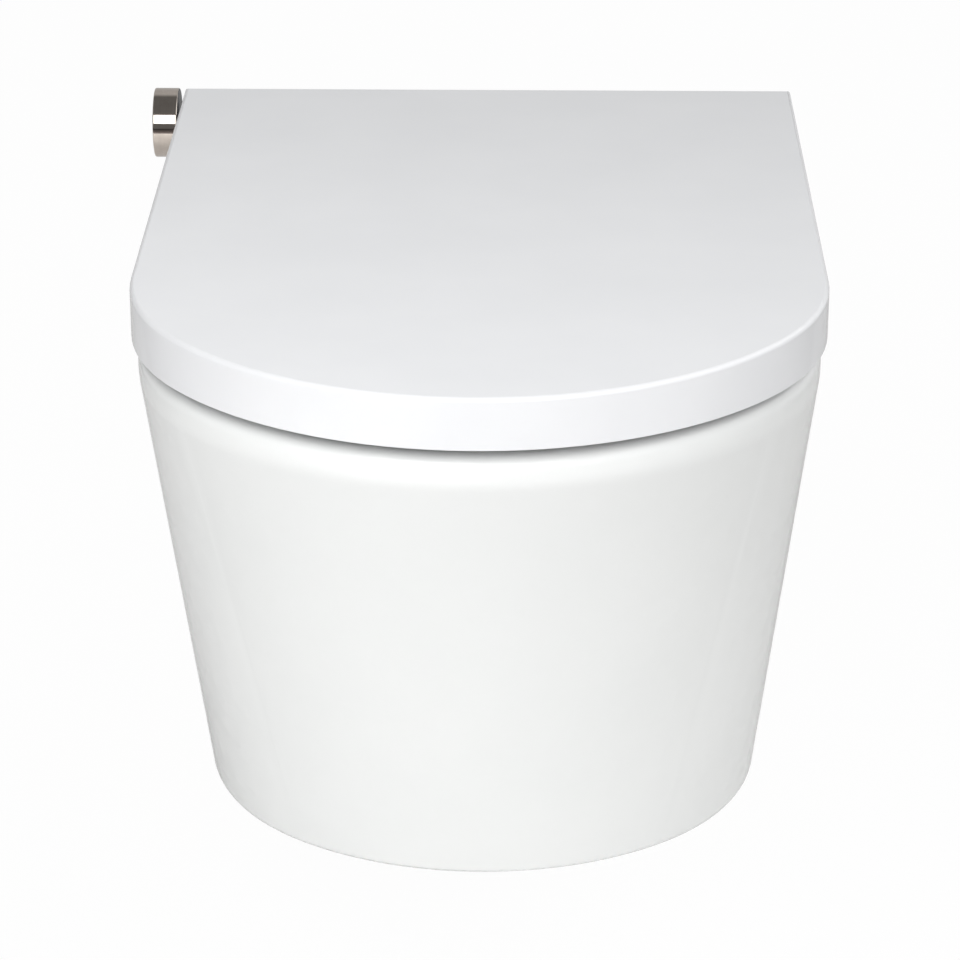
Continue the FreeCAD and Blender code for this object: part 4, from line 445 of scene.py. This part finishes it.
pad_rubber = grained(
    "pad_rubber", dark=(0.72, 0.72, 0.71), light=(0.77, 0.77, 0.76), patches=120.0,
    rough=(0.5, 0.62), grain=1200.0, depth=0.00002,
)
dress(slot_pad, "root", "buffer_rubber", pad_rubber)


# Hinges: powder-coated metal posts on the rim, each with a stud, a washer and a nut below it.
# Steel pins pressed into the seat's lugs turn in the posts.
powder = grained(
    "powder_coat", dark=(0.74, 0.745, 0.745), light=(0.79, 0.79, 0.79), patches=80.0,
    rough=(0.34, 0.42), grain=1400.0, depth=0.00006,
)
for node in ("hinge_post_left", "hinge_post_right"):
    skin(node, "root", "post_metal", powder, crease=35.0, ease=0.0004)
for node in ("post_nuts", "post_washers"):
    skin(node, "root", "steel", zinc, crease=30.0, ease=0.0003)
for node in ("hinge_pin_left", "hinge_pin_right"):
    skin(node, "seat", "steel", drawn_steel, crease=35.0, ease=0.0003)


# Seat: a compression-moulded ring in white thermoset with soft edges, which turns on the hinge pins.
# Rubber buffers on its underside stand on the rim.
seat_white = grained(
    "seat_thermoset", dark=(0.8, 0.803, 0.8), light=(0.83, 0.832, 0.828), patches=22.0,
    rough=(0.1, 0.16), grain=900.0, depth=0.00002,
)
skin("seat_ring", "seat", "seat_plastic", seat_white, crease=32.0)
white_rubber = grained(
    "white_rubber", dark=(0.68, 0.68, 0.66), light=(0.74, 0.74, 0.72), patches=120.0,
    rough=(0.55, 0.68), grain=2000.0, depth=0.00005,
)
skin("seat_buffers", "seat", "buffer_rubber", white_rubber, crease=35.0, ease=0.0006)


# Lid: a flat shell in white thermoset with an upright skirt that hides the seat.
# It turns on the same pins as the seat, and rubber buffers on its underside lie on the seat.
lid_white = grained(
    "lid_thermoset", dark=(0.806, 0.814, 0.83), light=(0.828, 0.835, 0.85), patches=16.0,
    rough=(0.08, 0.12), grain=700.0, depth=0.00001,
)
skin("lid", "lid", "lid_plastic", lid_white, crease=32.0)
skin("lid_buffers", "lid", "buffer_rubber", white_rubber, crease=35.0, ease=0.0004)


# Floor: pale studio paper below the hung bowl, which the camera sees as white.
# Its light on the part is low in front and at the sides. Behind the part it also shows in gloss.
bpy.ops.object.select_all(action="DESELECT")
bpy.ops.mesh.primitive_plane_add(size=14.0, location=(0.0, 0.0, -0.32))
floor = bpy.context.object
floor.name = "studio_floor"
paper_dark = (0.12, 0.11, 0.11)
paper_light = (0.87, 0.865, 0.86)
camera_share = 0.97
paper = bpy.data.materials.new("floor_paper")
paper.use_nodes = True
paper_shader = paper.node_tree.nodes["Principled BSDF"]
paper_shader.inputs["Roughness"].default_value = 0.9
paper_shader.inputs["Specular IOR Level"].default_value = 0.0
spot = add(paper, "ShaderNodeTexCoord").outputs["Object"]
floor_ways = add(paper, "ShaderNodeSeparateXYZ", {"Vector": spot}).outputs
sweep = {"Value": floor_ways["Y"], "From Min": -1.24, "From Max": -1.16}
front = add(paper, "ShaderNodeMapRange", sweep).outputs["Result"]
sideways = add(paper, "ShaderNodeMath", {0: floor_ways["X"]}, operation="ABSOLUTE").outputs["Value"]
strip = {"Value": sideways, "From Min": 0.86, "From Max": 0.885, "To Min": 1.0, "To Max": 0.6}
side = add(paper, "ShaderNodeMapRange", strip).outputs["Result"]
near = add(paper, "ShaderNodeMath", {0: front, 1: side}, operation="MULTIPLY").outputs["Value"]
wire(paper, "Base Color", tones(paper, near, (0.0, paper_dark), (1.0, paper_light)))
white = add(paper, "ShaderNodeEmission", {"Strength": 1.0}).outputs["Emission"]
rays = add(paper, "ShaderNodeLightPath").outputs
rear = {"Value": floor_ways["Y"], "From Min": 0.9, "From Max": 1.4, "To Min": 0.0, "To Max": 0.5}
far = add(paper, "ShaderNodeMapRange", rear).outputs["Result"]
bent_rays = {0: rays["Is Glossy Ray"], 1: rays["Is Transmission Ray"]}
bent = add(paper, "ShaderNodeMath", bent_rays, operation="MAXIMUM").outputs["Value"]
gloss_share = add(paper, "ShaderNodeMath", {0: bent, 1: far}, operation="MULTIPLY").outputs["Value"]
seen = {0: rays["Is Camera Ray"], 1: camera_share, 2: gloss_share}
share = add(paper, "ShaderNodeMath", seen, operation="MULTIPLY_ADD").outputs["Value"]
both = add(paper, "ShaderNodeMixShader", {0: share, 1: paper_shader.outputs["BSDF"], 2: white})
paper_surface = paper.node_tree.nodes["Material Output"].inputs["Surface"]
paper.node_tree.links.new(both.outputs["Shader"], paper_surface)
floor.data.materials.append(paper)


# Room: white to the camera, and otherwise dim in front, with light walls behind and at the right.
# The right wall grows lighter with height, the left one stays dim.
world = bpy.data.worlds.new("studio_room")
world.use_nodes = True
bpy.context.scene.world = world
backdrop = world.node_tree.nodes["Background"]
backdrop.inputs["Color"].default_value = (1.0, 1.0, 1.0, 1.0)
look = add(world, "ShaderNodeTexCoord").outputs["Generated"]
room_ways = add(world, "ShaderNodeSeparateXYZ", {"Vector": look}).outputs
behind = {"Value": room_ways["Y"], "From Min": 0.3, "From Max": 0.6, "To Min": 0.0, "To Max": 0.48}
rear_wall = add(world, "ShaderNodeMapRange", behind).outputs["Result"]
right = {"Value": room_ways["X"], "From Min": 0.4, "From Max": 0.65}
right_wall = add(world, "ShaderNodeMapRange", right).outputs["Result"]
rising = {"Value": room_ways["Z"], "From Min": 0.3, "From Max": 0.6, "To Min": 0.45, "To Max": 1.6}
right_level = add(world, "ShaderNodeMapRange", rising).outputs["Result"]
left = {"Value": room_ways["X"], "From Min": -0.4, "From Max": -0.65, "To Min": 0.14, "To Max": 0.26}
left_wall = add(world, "ShaderNodeMapRange", left).outputs["Result"]
walls = add(world, "ShaderNodeMath", {0: rear_wall, 1: left_wall}, operation="MAXIMUM").outputs["Value"]
all_walls = {0: right_wall, 1: right_level, 2: walls}
room = add(world, "ShaderNodeMath", all_walls, operation="MULTIPLY_ADD").outputs["Value"]
camera_ray = add(world, "ShaderNodeLightPath").outputs["Is Camera Ray"]
level = add(world, "ShaderNodeMath", {0: room, 1: camera_ray}, operation="MAXIMUM").outputs["Value"]
world.node_tree.links.new(level, backdrop.inputs["Strength"])


# Lamps: a wide softbox in two panels behind the camera, which the knob and the lid's edge mirror.
# Weaker panels fill from above and below, and don't show in gloss.
def panel_lamp(name, place, aim, width, height, energy, mirrored):
    """A flat lamp that faces a point. It isn't seen itself, and only a mirrored one shows in gloss."""
    turn = (Vector(aim) - Vector(place)).to_track_quat("-Z", "Y").to_euler()
    bpy.ops.object.light_add(type="AREA", location=place, rotation=turn)
    lamp = bpy.context.object
    lamp.name = name
    lamp.data.shape = "RECTANGLE"
    lamp.data.size = width
    lamp.data.size_y = height
    lamp.data.energy = energy
    lamp.visible_camera = False
    lamp.visible_glossy = mirrored


for name, across, energy in (("softbox_left", -0.75, 15.3), ("softbox_right", 0.55, 11.3)):
    panel_lamp(
        name, place=(across, -2.468, 1.385), aim=(across, -0.04, 0.094),
        width=1.3, height=1.39, energy=energy, mirrored=True,
    )
for name, across, energy in (("fill_high_left", -0.5, 7.9), ("fill_high_right", 0.5, 3.2)):
    panel_lamp(
        name, place=(across, -1.3, 1.486), aim=(0.0, -0.45, 0.08),
        width=0.9, height=0.6, energy=energy, mirrored=False,
    )
panel_lamp(
    "fill_top", place=(-0.1, -0.85, 0.95), aim=(0.0, -0.5, 0.12),
    width=0.7, height=0.5, energy=1.1, mirrored=False,
)
for name, across, energy in (("fill_low_left", -0.6, 6.2), ("fill_low_right", 0.6, 1.2)):
    panel_lamp(
        name, place=(across, -1.5, -0.25), aim=(0.0, -0.4, 0.0),
        width=0.8, height=0.4, energy=energy, mirrored=False,
    )


# Camera: in front of the part and above it, a little to the right of its middle.
# Its long lens looks down on the lid.
bpy.ops.object.camera_add(
    location=(0.0265, -2.1515, 0.7893),
    rotation=(math.radians(66.183), 0.0, math.radians(0.853)),
)
camera = bpy.context.object
camera.data.lens = 136.6
camera.data.sensor_width = 36.0
bpy.context.scene.camera = camera
bpy.context.scene.view_settings.view_transform = "Standard"
